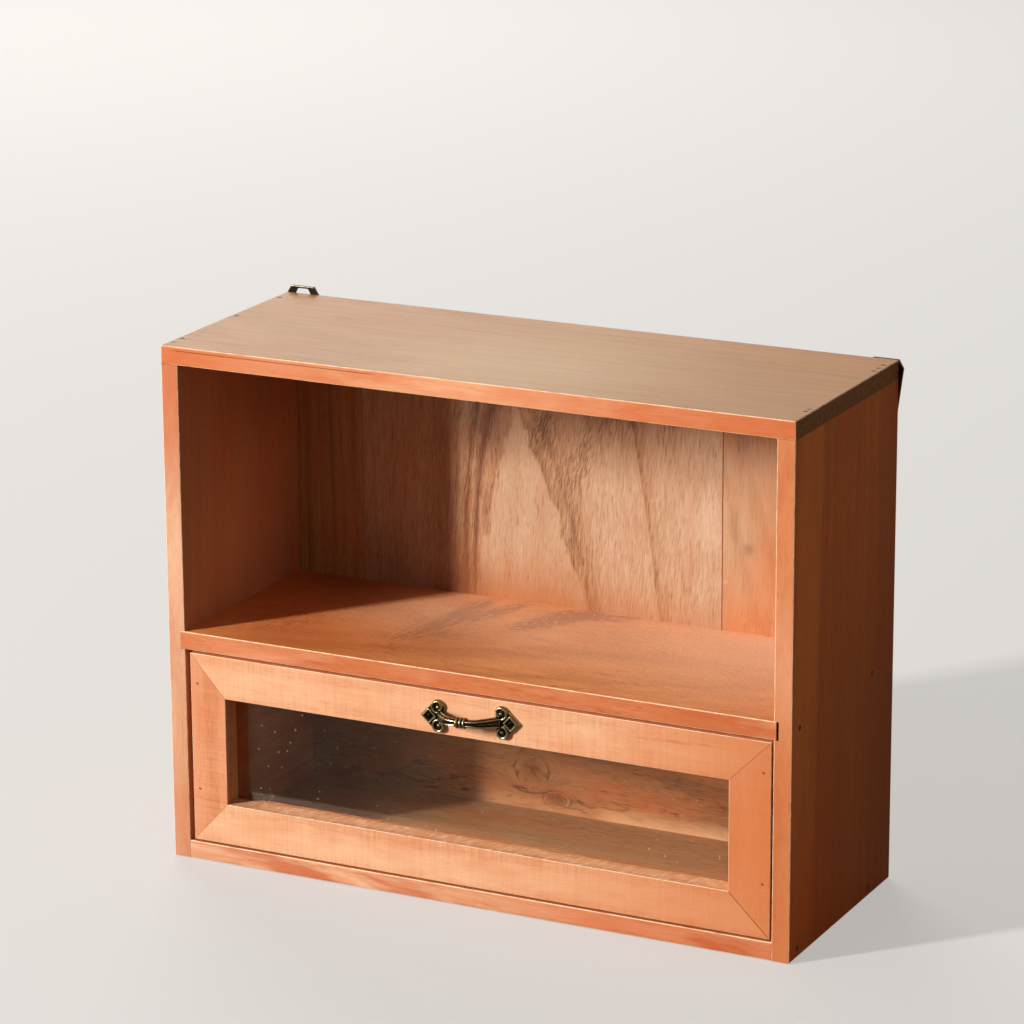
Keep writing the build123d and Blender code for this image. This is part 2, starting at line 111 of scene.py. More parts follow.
def material(name, **constants):
    """A new material, its tree and its Principled shader, with what is the same all over set on the shader."""
    made = bpy.data.materials.new(name)
    made.use_nodes = True
    shader = made.node_tree.nodes["Principled BSDF"]
    for socket, value in constants.items():
        shader.inputs[socket.replace("_", " ")].default_value = value
    return made, made.node_tree, shader


def millimetres(tree):
    """A point's place on the object, in millimetres, so that a pattern's scale can be a real size."""
    return add(tree, VECTOR, {0: add(tree, PLACE, out="Object"), 3: 1 / MM}, operation="SCALE")


def finish_with(piece, made):
    piece.data.materials.clear()
    piece.data.materials.append(made)


print("helpers ready")

# %% [markdown]
# ## Camera
# The photograph was taken from the front right, a little above, with a long lens. The direction, the distance and
# the lens were worked out from the cabinet's corners, so the same corners land on the same pixels of 1024 x 1024.
# %% Camera
AZIMUTH, ELEVATION, ROLL = math.radians(26.67), math.radians(16.19), math.radians(-0.34)
LENS_MM, SENSOR_MM = 152.0, 36.0
CAMERA_AT = (1.0760, -2.1618, 0.9206)
lens = bpy.data.cameras.new("camera")
lens.lens, lens.sensor_width, lens.sensor_fit = LENS_MM, SENSOR_MM, "HORIZONTAL"
lens.clip_start, lens.clip_end = 0.05, 60.0
camera = bpy.data.objects.new("camera", lens)
turn = Matrix.Rotation(AZIMUTH, 4, "Z") @ Matrix.Rotation(math.pi / 2 - ELEVATION, 4, "X")
camera.matrix_world = Matrix.Translation(CAMERA_AT) @ turn @ Matrix.Rotation(ROLL, 4, "Z")
bpy.context.scene.collection.objects.link(camera)
bpy.context.scene.camera = camera
print("camera at", [round(v, 3) for v in camera.location])

# %% [markdown]
# ## Light, floor and background
# The shadow that the left side casts on the shelf gives the main lamp: from the front left, low, and fairly small,
# because the shadow's edge is only about a centimetre wide. It is taller than wide, as a window is, because the
# shadow of the top on the back has a much softer edge. A large dim lamp from behind keeps the back from going black.
# %% Lamps
CENTRE = Vector((0, 0, 0.16))


def lamp(name, place, watts, wide, tall):
    """A white rectangular lamp that faces the cabinet."""
    light = bpy.data.lights.new(name, "AREA")
    light.shape, light.size, light.size_y = "RECTANGLE", wide, tall
    light.energy = watts
    held = bpy.data.objects.new(name, light)
    held.location = place
    held.rotation_euler = (CENTRE - Vector(place)).to_track_quat("-Z", "Y").to_euler()
    bpy.context.scene.collection.objects.link(held)


KEY_TURN, KEY_HEIGHT, KEY_AWAY = math.radians(40.2), math.radians(18), 5.0
travel = Vector((math.sin(KEY_TURN) * math.cos(KEY_HEIGHT), math.cos(KEY_TURN) * math.cos(KEY_HEIGHT),
                 -math.sin(KEY_HEIGHT)))
lamp("key", CENTRE - travel * KEY_AWAY, watts=358, wide=0.32, tall=1.3)
lamp("fill_behind", (-2.2, 2.6, 2.0), watts=78, wide=2.2, tall=2.2)

# %% World
# The world lights the wood only dimly. The camera sees it pale, and so do metal and glass, in which it is darker
# to the front of the cabinet, as a room is, and paler behind it.
DIM, SEEN_PALE = 0.25, 0.95
world = bpy.data.worlds.new("studio")
bpy.context.scene.world = world
world.use_nodes = True
sky = world.node_tree
by_camera, by_gloss, by_glass = (add(sky, "ShaderNodeLightPath", out=kind + " Ray")
                                 for kind in ("Is Camera", "Is Glossy", "Is Transmission"))
seen = add(sky, MATH, {0: by_camera, 1: by_gloss}, operation="MAXIMUM")
seen = add(sky, MATH, {0: seen, 1: by_glass}, operation="MAXIMUM")
dim = add(sky, "ShaderNodeBackground", {"Color": rgb("#F4F1EE"), "Strength": DIM})
behind = add(sky, SPLIT, {0: add(sky, PLACE, out="Generated")}, out=1)
behind = add(sky, RANGE, {0: behind, 1: -0.5, 2: 0.6, 3: DIM, 4: SEEN_PALE})
shown = add(sky, MATH, {0: by_camera, 1: SEEN_PALE}, operation="MULTIPLY")
shown = add(sky, MATH, {0: shown, 1: behind}, operation="MAXIMUM")
bright = add(sky, "ShaderNodeBackground", {"Color": rgb("#F3F1EE"), "Strength": shown})
sky.links.new(add(sky, "ShaderNodeMixShader", {0: seen, 1: dim, 2: bright}),
              sky.nodes["World Output"].inputs["Surface"])
bpy.context.scene.view_settings.view_transform = "Standard"
print("world ready")

# %% Floor
FLOOR_RADIUS, FLOOR_BELOW = 14.0, 0.0004
floor_mesh = bmesh.new()
bmesh.ops.create_circle(floor_mesh, cap_ends=True, segments=96, radius=FLOOR_RADIUS)
floor_data = bpy.data.meshes.new("floor")
floor_mesh.to_mesh(floor_data)
floor_mesh.free()
floor_data.transform(Matrix.Translation((0, 0, -FLOOR_BELOW)))
floor = bpy.data.objects.new("floor", floor_data)
bpy.context.scene.collection.objects.link(floor)
# Matt painted board: the camera sees it pale and still shadowed, and what it throws back up stays low.
painted_board, tree, shader = material("matt_painted_board", Roughness=0.9, Specular_IOR_Level=0.1)
shader.inputs["Base Color"].default_value = rgb("#77695A")
lit = add(tree, "ShaderNodeBsdfDiffuse", {"Color": rgb("#D8D4CF")})
glow = add(tree, "ShaderNodeEmission", {"Color": rgb("#EFEBE7"), "Strength": 1.0})
pale = add(tree, "ShaderNodeMixShader", {0: 0.5, 1: lit, 2: glow})
both = add(tree, "ShaderNodeMixShader", {0: add(tree, "ShaderNodeLightPath", out="Is Camera Ray"),
                                         1: shader.outputs[0], 2: pale})
tree.links.new(both, tree.nodes["Material Output"].inputs["Surface"])
finish_with(floor, painted_board)
print("floor radius", FLOOR_RADIUS)

# %% [markdown]
# ## Wood
# All boards are light softwood under an orange stain and a thin matt oil. A board shows three things at once:
# growth rings, which are cylinders round the tree's middle that the saw cuts at a slant; long fibres; and short
# dark pores. So the pattern is worked out from distances in the tree and not painted: each board has its own
# middle of the tree (its pith) at some place across and behind it, and a tilt between board and trunk, which is
# what draws the arches of a flat-sawn board. The first steps make one number, the tone, from 0 for the palest
# wood to 1 for the darkest. Then it becomes a colour, and the later steps stain and wear that.
# %% A place in the board


def places(tree, axes):
    """Where a point lies along, across and through its board, in millimetres, and if it is on a face to the front."""
    wood = SimpleNamespace(tree=tree, mm=millimetres(tree), normal=add(tree, PLACE, out="Normal"))
    wood.xyz = add(tree, SPLIT, {0: wood.mm}).node.outputs
    wood.along, wood.across, wood.through = (wood.xyz["XYZ".index(letter)] for letter in axes)
    wood.board = add(tree, JOIN, {0: wood.along, 1: wood.across, 2: wood.through})
    wood.front = add(tree, RANGE, {0: add(tree, SPLIT, {0: wood.normal}, out=1), 1: -0.6, 2: -0.8})
    wood.broad = add(tree, MATH, {0: 1.0, 1: wood.front}, operation="SUBTRACT")
    return wood


def stretched(tree, place, size, offset=(0, 0, 0), **noise):
    """Noise with spots of about this size in mm along, across and through the board; 0 is for the same all the way."""
    placed = add(tree, MAPPING, {"Vector": place, "Location": offset, "Scale": [1 / mm if mm else 0 for mm in size]})
    return add(tree, NOISE, {"Vector": placed, "Scale": 1.0, **noise})


print("a point knows its place in its board")

# %% [markdown]
# The grain never runs quite straight. It drifts to and fro over some 20 cm, and where a branch grew it parts and
# closes again behind the knot. A knot is drawn as the branch itself, with dark and pale rings.
# %% The run of the grain, and its knots
DRIFT = (230, 90, 90)      # mm; how slowly the grain wanders
# rings of a branch: how far out, and how dark
KNOT_RINGS = ((0.0, 0.5), (0.12, 0.75), (0.22, 0.3), (0.34, 0.55), (0.44, 0.15), (0.54, 0.1), (0.6, 0.62),
              (0.68, 0.12), (0.95, 0.0))


def run_of_grain(wood, wander, seed, knots):
    """The way across the board as the grain runs, which wanders and parts round a knot, and the tone of the knots."""
    tree = wood.tree
    drift = stretched(tree, wood.board, DRIFT, (seed, seed * 0.7, 0), Detail=2.0)
    grain = add(tree, MATH, {0: drift, 1: wander * 2, 2: wood.across}, operation="MULTIPLY_ADD")
    spots = None
    for knot_along, knot_across, long, wide, dark in knots:
        off = [add(tree, MATH, {0: add(tree, MATH, {0: at, 1: middle}, operation="SUBTRACT"), 1: size},
                   operation="DIVIDE")
               for at, middle, size in ((wood.along, knot_along, long), (wood.across, knot_across, wide))]
        reach = add(tree, VECTOR, {0: add(tree, JOIN, {0: off[0], 1: off[1]})}, out="Value", operation="LENGTH")
        reach = add(tree, MATH, {0: reach, 1: 1.25}, operation="SUBTRACT")
        reach = add(tree, MATH, {0: drift, 1: 2.5, 2: reach}, operation="MULTIPLY_ADD")
        near = add(tree, RANGE, {0: reach, 1: 2.6, 2: 0.6, 3: 0.0, 4: 1.0}, interpolation_type="SMOOTHERSTEP")
        push = add(tree, MATH, {0: off[1], 1: near}, operation="MULTIPLY")
        grain = add(tree, MATH, {0: push, 1: -wide * 1.1, 2: grain}, operation="MULTIPLY_ADD")
        branch = add(tree, RAMP, {0: add(tree, MATH, {0: reach, 1: 0.6}, operation="MULTIPLY")},
                     stops=[(at, grey(dark * deep)) for at, deep in KNOT_RINGS])
        spots = branch if spots is None else add(tree, MATH, {0: spots, 1: branch}, operation="MAXIMUM")
    return grain, spots


print("knots have", len(KNOT_RINGS), "stops")

# %% [markdown]
# Growth rings are cylinders round the pith, so a ring is a matter of the distance from it. Most boards get years of
# random width. Where the photo shows certain rings, they are set one by one, as bands.
# %% Growth rings
RAGGED = (16, 5, 5)      # mm; teeth along the edge of a year


def growth_rings(wood, grain, pith, tilt, skew, ring, rings, seed, bands):
    """The tone of the years, and how far a point lies beside and behind the pith."""
    tree = wood.tree
    side = add(tree, MATH, {0: grain, 1: pith[0]}, operation="SUBTRACT")
    side = add(tree, MATH, {0: wood.along, 1: -skew, 2: side}, operation="MULTIPLY_ADD")
    back = add(tree, MATH, {0: wood.through, 1: pith[1]}, operation="SUBTRACT")
    back = add(tree, MATH, {0: wood.along, 1: tilt, 2: back}, operation="MULTIPLY_ADD")
    radius = add(tree, VECTOR, {0: add(tree, JOIN, {0: side, 1: back})}, out="Value", operation="LENGTH")
    ragged = stretched(tree, wood.board, RAGGED, Detail=3.0)
    radius = add(tree, MATH, {0: ragged, 1: ring * 0.6, 2: radius}, operation="MULTIPLY_ADD")
    year = add(tree, MATH, {0: radius, 1: 1 / ring, 2: seed}, operation="MULTIPLY_ADD")
    year = add(tree, NOISE, {"W": year, "Scale": 1.0, "Detail": 2.0}, noise_dimensions="1D")
    tone = add(tree, RANGE, {0: year, 1: 0.34, 2: 0.68, 3: 0.5 - rings, 4: 0.5 + rings})
    if bands:
        reach = bands[-1][0]
        rightness = add(tree, RANGE, {0: side, 1: -8.0, 2: 8.0})
        share = add(tree, MATH, {0: radius, 1: 1 / reach}, operation="MULTIPLY")
        left, right = (add(tree, RAMP, {0: share}, stops=[(band[0] / reach, grey(band[which])) for band in bands])
                       for which in (1, 2))
        chosen = add(tree, MIX, {0: rightness, 2: left, 3: right})
        tone = add(tree, MATH, {0: add(tree, MATH, {0: tone, 1: -0.5}, operation="ADD"), 1: chosen}, operation="ADD")
    return tone, side, back, ragged


print("growth rings ready")

# %% Flame
# the dark lip round the tongue, from its edge outwards; a step of 0.05 is 1 mm
FLAME_LIP = ((0.17, 0.0), (0.21, 0.26), (0.3, 0.2), (0.5, 0.12), (0.9, 0.0))


def flame_tongue(wood, tone, side, back, ragged, power, stretch, reach, pale):
    """The saw ran out of one year's wood, which shows as a pale tongue with a dark lip."""
    tree = wood.tree
    ways = [add(tree, MATH, {0: add(tree, MATH, {0: way}, operation="ABSOLUTE"), 1: power}, operation="POWER")
            for way in (add(tree, MATH, {0: side, 1: 1 / stretch}, operation="MULTIPLY"), back)]
    tongue = add(tree, MATH, {0: ways[0], 1: ways[1]}, operation="ADD")
    tongue = add(tree, MATH, {0: tongue, 1: 1 / power}, operation="POWER")
    tongue = add(tree, MATH, {0: ragged, 1: 8.0, 2: tongue}, operation="MULTIPLY_ADD")
    past = add(tree, MATH, {0: tongue, 1: reach}, operation="SUBTRACT")
    past = add(tree, MATH, {0: past, 1: 0.05, 2: 0.2}, operation="MULTIPLY_ADD")
    lip = add(tree, RAMP, {0: past}, stops=[(at, grey(dark)) for at, dark in FLAME_LIP])
    outside = add(tree, RANGE, {0: tongue, 1: reach - 1.2, 2: reach + 0.8})
    tone = add(tree, MATH, {0: tone, 1: lip}, operation="ADD")
    inside = add(tree, MATH, {0: tone, 1: 0.3, 2: pale}, operation="MULTIPLY_ADD")
    return add(tree, MIX, {0: outside, 2: inside, 3: tone}), outside


print("flame ready")

# %% [markdown]
# Fibres, streaks and pores are the same noise at three sizes, drawn out along the grain. A coarse saw leaves marks
# the other way, across it.
# %% Fibres, pores and saw marks
FIBRE_WIDE, FIBRE_LONG = 0.95, 38.0      # mm; real fibres are a tenth as wide, too fine to show
STREAK, PORE, SAW_MARK = (240, 6, 6), (7.0, 0.45, 0.45), (1.1, 30.0, 30.0)
RIPPLE = (26, 22, 0)


def leaning(wood, grain, lean, curly):
    """The grain once more, for the fibres alone, which may lean and ripple."""
    tree = wood.tree
    if curly:
        ripple = stretched(tree, wood.board, RIPPLE, Detail=2.0)
        grain = add(tree, MATH, {0: ripple, 1: curly, 2: grain}, operation="MULTIPLY_ADD")
    grain = add(tree, MATH, {0: wood.along, 1: -lean, 2: grain}, operation="MULTIPLY_ADD")
    return add(tree, JOIN, {0: wood.along, 1: grain, 2: wood.through})


def fibres(wood, grain, tone, strength, strand, streak, pores, seed):
    """Adds fine fibres, wide streaks and pores along the grain, and gives back the first and the last as well."""
    tree = wood.tree
    fine = stretched(tree, grain, (strand, FIBRE_WIDE, FIBRE_WIDE), (seed, 0, 0), Detail=4.0, Roughness=0.65)
    wide = stretched(tree, grain, STREAK, (0, seed, 0), Detail=3.0)
    pore = add(tree, RANGE, {0: stretched(tree, grain, PORE, Detail=1.0), 1: 0.53, 2: 0.72})
    centred = add(tree, MATH, {0: fine, 1: -0.5}, operation="ADD")
    tone = add(tree, MATH, {0: centred, 1: strength, 2: tone}, operation="MULTIPLY_ADD")
    tone = add(tree, MATH, {0: wide, 1: 2 * streak, 2: tone}, operation="MULTIPLY_ADD")
    return add(tree, MATH, {0: pore, 1: pores, 2: tone}, operation="MULTIPLY_ADD"), fine, pore


def saw_marks(wood, tone, saw):
    """Adds the saw's marks."""
    tree = wood.tree
    cut = stretched(tree, wood.board, SAW_MARK, Detail=2.0)
    tone = add(tree, MATH, {0: tone, 1: saw}, operation="SUBTRACT")
    return add(tree, MATH, {0: cut, 1: 2 * saw, 2: tone}, operation="MULTIPLY_ADD")


print("fibres ready")

# %% [markdown]
# A few boards have more to show: patches where the fibres curl round a hidden branch, rows of short dark flecks,
# and fibres that stand up from the face and catch the light.
# %% Curls, flecks and raised grain
FLECK, RAISED = (16, 3.4, 0), (3.0, 1.8, 1.8)


def curl_patches(wood, tone, curls):
    """Patches where the fibres run another way: (middle, angle, reach, size of a strand, strength)."""
    tree = wood.tree
    for middle, angle, reach, strand, strength in curls:
        here = add(tree, VECTOR, {0: wood.board, 1: middle + (0,)}, operation="SUBTRACT")
        here = add(tree, MAPPING, {"Vector": here, "Rotation": (0, 0, -math.radians(angle))})
        far = add(tree, MAPPING, {"Vector": here, "Scale": (1 / reach[0], 1 / reach[1], 0)})
        far = add(tree, VECTOR, {0: far}, out="Value", operation="LENGTH")
        inside = add(tree, RANGE, {0: far, 1: 1.0, 2: 0.0, 3: 0.0, 4: 1.0}, interpolation_type="SMOOTHSTEP")
        curl = stretched(tree, here, (*strand, 0), Detail=4.0, Roughness=0.6)
        curl = add(tree, MATH, {0: add(tree, RANGE, {0: curl, 1: 0.4, 2: 0.62}), 1: inside}, operation="MULTIPLY")
        tone = add(tree, MATH, {0: curl, 1: strength, 2: tone}, operation="MULTIPLY_ADD")
    return tone


def fleck_rows(wood, tone, flecks, seed):
    """Rows of dark flecks along the board: (place across it, half the row's width, strength, how rare they are)."""
    tree = wood.tree
    for middle, reach, strength, rare in flecks:
        near = add(tree, MATH, {0: wood.across, 1: middle}, operation="SUBTRACT")
        near = add(tree, MATH, {0: near}, operation="ABSOLUTE")
        near = add(tree, RANGE, {0: near, 1: reach, 2: reach * 0.4}, interpolation_type="SMOOTHSTEP")
        fleck = stretched(tree, wood.board, FLECK, (seed, 0, 0), Detail=3.0, Distortion=0.8)
        fleck = add(tree, RANGE, {0: fleck, 1: rare, 2: rare + 0.13, 3: 0.0, 4: strength})
        fleck = add(tree, MATH, {0: fleck, 1: near}, operation="MULTIPLY")
        tone = add(tree, MATH, {0: fleck, 1: tone}, operation="ADD")
    return tone


def raised_grain(wood):
    """Where single fibres stand up from a broad face."""
    tree = wood.tree
    raised = add(tree, RANGE, {0: stretched(tree, wood.board, RAISED, Detail=2.0), 1: 0.52, 2: 0.7})
    return add(tree, MATH, {0: raised, 1: wood.broad}, operation="MULTIPLY")


print("curls and flecks ready")

# %% [markdown]
# ## Stain and wear
# The stain went on with a cloth. It stands in clouds where the wood is open and soaks into end grain, and pools
# make it deeper or paler in places; some pools are stain and some are painted light and shade, as said at each
# board. The corners are pale, partly rubbed and partly a painted highlight where the rounded edge catches the
# light, and iron nails turned the wood round them black. So each step here says by how much the surface takes a
# colour, and which, and the wood builder lays them over the wood in turn. Pale corners are found from the shape,
# where the surface turns away from every axis.
# %% Stain
CLOUD, BLOTCH_WIDE = (60.0, 20.0, 20.0), 14.0


def stain_clouds(wood, deep, mottle, seed):
    """Deeper stain in clouds, with one strength for what faces the front and another for the rest."""
    tree = wood.tree
    cloud = stretched(tree, wood.board, CLOUD, (0, 0, seed), Detail=6.0, Roughness=0.62)
    most = add(tree, RANGE, {0: wood.front, 3: mottle[1], 4: mottle[0]})
    yield add(tree, RANGE, {0: cloud, 1: 0.44, 2: 0.66, 3: 0.0, 4: most}), deep


def stain_and_painted_light_pools(wood, faces, pools, deep):
    """Soft pools of colour, some of stain and some of painted light and shade: (middle, reach, strength, and a colour
    if it isn't the deep one).
    """
    tree = wood.tree
    for middle, reach, strength, *stain in pools:
        far = add(tree, VECTOR, {0: wood.mm, 1: middle}, out="Value", operation="DISTANCE")
        pool = add(tree, RANGE, {0: far, 1: reach, 2: 0.0, 3: 0.0, 4: strength}, interpolation_type="SMOOTHSTEP")
        yield add(tree, MATH, {0: pool, 1: faces}, operation="MULTIPLY"), stain[0] if stain else deep


def stain_blotches(wood, blotches, seed):
    """Blotches with a clear edge on the front, where the wood under the stain is looser: (colour, share, reach)."""
    tree = wood.tree
    for stain, share, reach in blotches:
        patch = stretched(tree, wood.board, (reach, BLOTCH_WIDE, BLOTCH_WIDE), (seed, seed, 0), Detail=3.0,
                          Roughness=0.6, Distortion=0.4)
        patch = add(tree, RANGE, {0: patch, 1: 0.5, 2: 0.64, 3: 0.0, 4: share})
        yield add(tree, MATH, {0: patch, 1: wood.front}, operation="MULTIPLY"), stain


def dark_ends(wood, lengthwise, end):
    """End grain drinks the stain and goes dark, straw by straw. lengthwise is the number of the board's long axis."""
    tree = wood.tree
    cut_end = add(tree, MATH, {0: add(tree, SPLIT, {0: wood.normal}, out=lengthwise)}, operation="ABSOLUTE")
    cut_end = add(tree, RANGE, {0: cut_end, 1: 0.75, 2: 0.9})
    straws = add(tree, NOISE, {"Vector": wood.mm, "Scale": 0.35, "Detail": 6.0, "Roughness": 0.7})
    straws = add(tree, RANGE, {0: straws, 1: 0.35, 2: 0.62, 3: 0.95, 4: 0.45})
    yield add(tree, MATH, {0: cut_end, 1: straws}, operation="MULTIPLY"), end


print("stains ready")

# %% Marks
LINE_HALF, NAIL_STAIN = (0.45, 0.12), (2.1, 1.2)      # mm from the middle; where each starts and where it is full
FRONT_Y = -75.0


def thin_lines(wood, lines):
    """A mitre or a scratch shows as a thin dark line along the front: ((x, z), (x, z), strength)."""
    tree = wood.tree
    for (out_x, out_z), (in_x, in_z), strength in lines:
        long = math.hypot(in_x - out_x, in_z - out_z)
        away = Vector((-(in_z - out_z) / long, 0, (in_x - out_x) / long))
        off = add(tree, VECTOR, {0: wood.mm, 1: away}, out="Value", operation="DOT_PRODUCT")
        off = add(tree, MATH, {0: off, 1: away.dot(Vector((out_x, 0, out_z)))}, operation="SUBTRACT")
        off = add(tree, MATH, {0: off}, operation="ABSOLUTE")
        line = add(tree, RANGE, {0: off, 1: LINE_HALF[0], 2: LINE_HALF[1], 3: 0.0, 4: strength})
        middle = ((out_x + in_x) / 2, FRONT_Y, (out_z + in_z) / 2)
        far = add(tree, VECTOR, {0: wood.mm, 1: middle}, out="Value", operation="DISTANCE")
        far = add(tree, RANGE, {0: far, 1: long / 2 + 3, 2: long / 2 - 3})
        line = add(tree, MATH, {0: line, 1: far}, operation="MULTIPLY")
        yield add(tree, MATH, {0: line, 1: wood.front}, operation="MULTIPLY"), "#7A3210"


def nail_stains(wood, spots):
    """Iron and tannin make a black stain round a nail."""
    tree = wood.tree
    for spot in spots:
        far = add(tree, VECTOR, {0: wood.mm, 1: spot}, out="Value", operation="DISTANCE")
        yield add(tree, RANGE, {0: far, 1: NAIL_STAIN[0], 2: NAIL_STAIN[1], 3: 0.0, 4: 0.85}), "#2E1A0E"


print("marks ready")

# %% Torn grain and pale corners, partly painted highlight
TORN_HALF = (0.5, 0.25)      # mm above and below the level
TUFT_LEAN, TUFT = math.radians(-62), (7.0, 1.5, 7.0)


def torn_grain_with_glint(wood, level):
    """A coarse saw left slanting fibres standing on the face at this height. Their pale colour is painted light, where
    the lamp catches them.
    """
    tree = wood.tree
    height = add(tree, MATH, {0: wood.xyz[2], 1: level}, operation="SUBTRACT")
    height = add(tree, MATH, {0: height}, operation="ABSOLUTE")
    on_face = add(tree, RANGE, {0: height, 1: TORN_HALF[0], 2: TORN_HALF[1]})
    slant = add(tree, MAPPING, {"Vector": wood.mm, "Rotation": (0, 0, TUFT_LEAN)})
    tuft = stretched(tree, slant, TUFT, Detail=3.0, Roughness=0.7)
    tuft = add(tree, RANGE, {0: tuft, 1: 0.5, 2: 0.68, 3: 0.0, 4: 0.65})
    yield add(tree, MATH, {0: tuft, 1: on_face}, operation="MULTIPLY"), "#FFE0B8"


def worn_and_highlit_corners(wood, wear_and_highlight):
    """Pale corners in patches, partly rubbed and partly painted highlight: there the surface faces along no axis."""
    tree = wood.tree
    size = add(tree, SPLIT, {0: add(tree, VECTOR, {0: wood.normal}, operation="ABSOLUTE")}).node.outputs
    most = add(tree, MATH, {0: size[0], 1: size[1]}, operation="MAXIMUM")
    most = add(tree, MATH, {0: most, 1: size[2]}, operation="MAXIMUM")
    corner = add(tree, RANGE, {0: most, 1: 0.99, 2: 0.86})
    patchy = add(tree, NOISE, {"Vector": wood.mm, "Scale": 0.12, "Detail": 3.0})
    patchy = add(tree, RANGE, {0: patchy, 1: 0.3, 2: 0.55, 3: 0.25, 4: 1.0})
    yield add(tree, MATH, {0: corner, 1: patchy}, operation="MULTIPLY"), wear_and_highlight


print("wear ready")

# %% [markdown]
# ## One board
# A board is all those steps in turn. axes gives which way runs along, across and through it. face and edge are
# three colours each, pale to dark, for its broad faces and for what faces the front. bands are set rings (radius
# in mm, tone to the left of the pith, tone to its right). pools lie on what faces the front, broad_pools on the
# rest. The tint for faces turned towards -X is for the right side alone: its face colours are painted shade, the
# deep warm orange of its outer face in shade, and the tint turns its face to the open compartment back to plainer wood.
# %% The wood builder
RELIEF = 0.4 * MM      # how high the fibres can stand
MATT = (0.43, 0.6)      # the roughness of an oiled board, from fibre to fibre


def timber(name, face, edge, axes="XYZ", pith=(0.0, -60.0), tilt=0.0, skew=0.0, ring=5.0, rings=0.35, fibre=0.35,
           streak=0.2, pores=0.25, wander=4.0, saw=0.0, deep="#B4582A", wear_and_highlight="#FFD9B0", seed=0.0,
           bands=(), knots=(), end="#4A2408", pools=(), broad_pools=(), lines=(), curls=(), torn_glint_level=None,
           speckle=0.0, mottle=(0.35, 0.35), flecks=(), flame=None, stains=(), lean=0.0, curly=0.0,
           strand=FIBRE_LONG, blotch=(), unshaded_inner_tint=None, shiny=0.28, relief=0.22):
    """A stained board, as one material."""
    made, tree, shader = material(name, Specular_IOR_Level=shiny)
    wood = places(tree, axes)
    grain, spots = run_of_grain(wood, wander, seed, knots)
    tone, side, back, ragged = growth_rings(wood, grain, pith, tilt, skew, ring, rings, seed, bands)
    strength = 2 * fibre
    if flame is not None:      # inside the flame the fibres are calmer
        tone, outside = flame_tongue(wood, tone, side, back, ragged, *flame)
        strength = add(tree, RANGE, {0: outside, 3: 0.9 * fibre, 4: 2 * fibre})
    tone, fine, pore = fibres(wood, leaning(wood, grain, lean, curly), tone, strength, strand, streak, pores, seed)
    if saw:
        tone = saw_marks(wood, tone, saw)
    if spots is not None:
        tone = add(tree, MATH, {0: tone, 1: spots}, operation="ADD")
    tone = add(tree, MATH, {0: tone, 1: streak}, operation="SUBTRACT")      # streaks lighten as well as darken
    tone = fleck_rows(wood, curl_patches(wood, tone, curls), flecks, seed)
    height = add(tree, MATH, {0: pore, 1: -0.8, 2: fine}, operation="MULTIPLY_ADD")
    if speckle:
        raised = raised_grain(wood)
        # The raised fibres are painted paler as well as bumped: a painted highlight.
        tone = add(tree, MATH, {0: raised, 1: -speckle, 2: tone}, operation="MULTIPLY_ADD")
        height = add(tree, MATH, {0: raised, 1: 1.5, 2: height}, operation="MULTIPLY_ADD")

    broad, front = (add(tree, RAMP, {0: tone}, stops=[(at / 2, rgb(code)) for at, code in enumerate(three)])
                    for three in (face, edge))
    colour = add(tree, MIX, {0: wood.front, 6: broad, 7: front}, out=2, data_type="RGBA")
    for share, stain in (*stain_clouds(wood, deep, mottle, seed), *stain_and_painted_light_pools(wood, wood.front, pools, deep),
                         *stain_and_painted_light_pools(wood, wood.broad, broad_pools, deep), *stain_blotches(wood, blotch, seed),
                         *dark_ends(wood, "XYZ".index(axes[0]), end)):
        colour = add(tree, MIX, {0: share, 6: colour, 7: rgb(stain)}, out=2, data_type="RGBA")
    # Faces turned towards -X lose the painted shade colour here, through this tint.
    if unshaded_inner_tint is not None:
        inward = add(tree, RANGE, {0: add(tree, SPLIT, {0: wood.normal}), 1: -0.6, 2: -0.8})
        inward = add(tree, MIX, {0: inward, 4: (1, 1, 1), 5: unshaded_inner_tint}, out=1, data_type="VECTOR")
        colour = add(tree, VECTOR, {0: colour, 1: inward}, operation="MULTIPLY")
    for share, stain in (*thin_lines(wood, lines), *nail_stains(wood, stains),
                         *(torn_grain_with_glint(wood, torn_glint_level) if torn_glint_level else ()), *worn_and_highlit_corners(wood, wear_and_highlight)):
        colour = add(tree, MIX, {0: share, 6: colour, 7: rgb(stain)}, out=2, data_type="RGBA")
    tree.links.new(colour, shader.inputs["Base Color"])

    matt = add(tree, RANGE, {0: fine, 1: 0.3, 2: 0.7, 3: MATT[0], 4: MATT[1]})
    tree.links.new(matt, shader.inputs["Roughness"])
    bump = add(tree, "ShaderNodeBump", {"Strength": relief, "Distance": RELIEF, "Height": height})
    tree.links.new(bump, shader.inputs["Normal"])
    return made


EDGE = ("#E2A77E", "#DA9267", "#B5663C")      # stained edges, as the front of the boards shows them
print("wood builder ready")
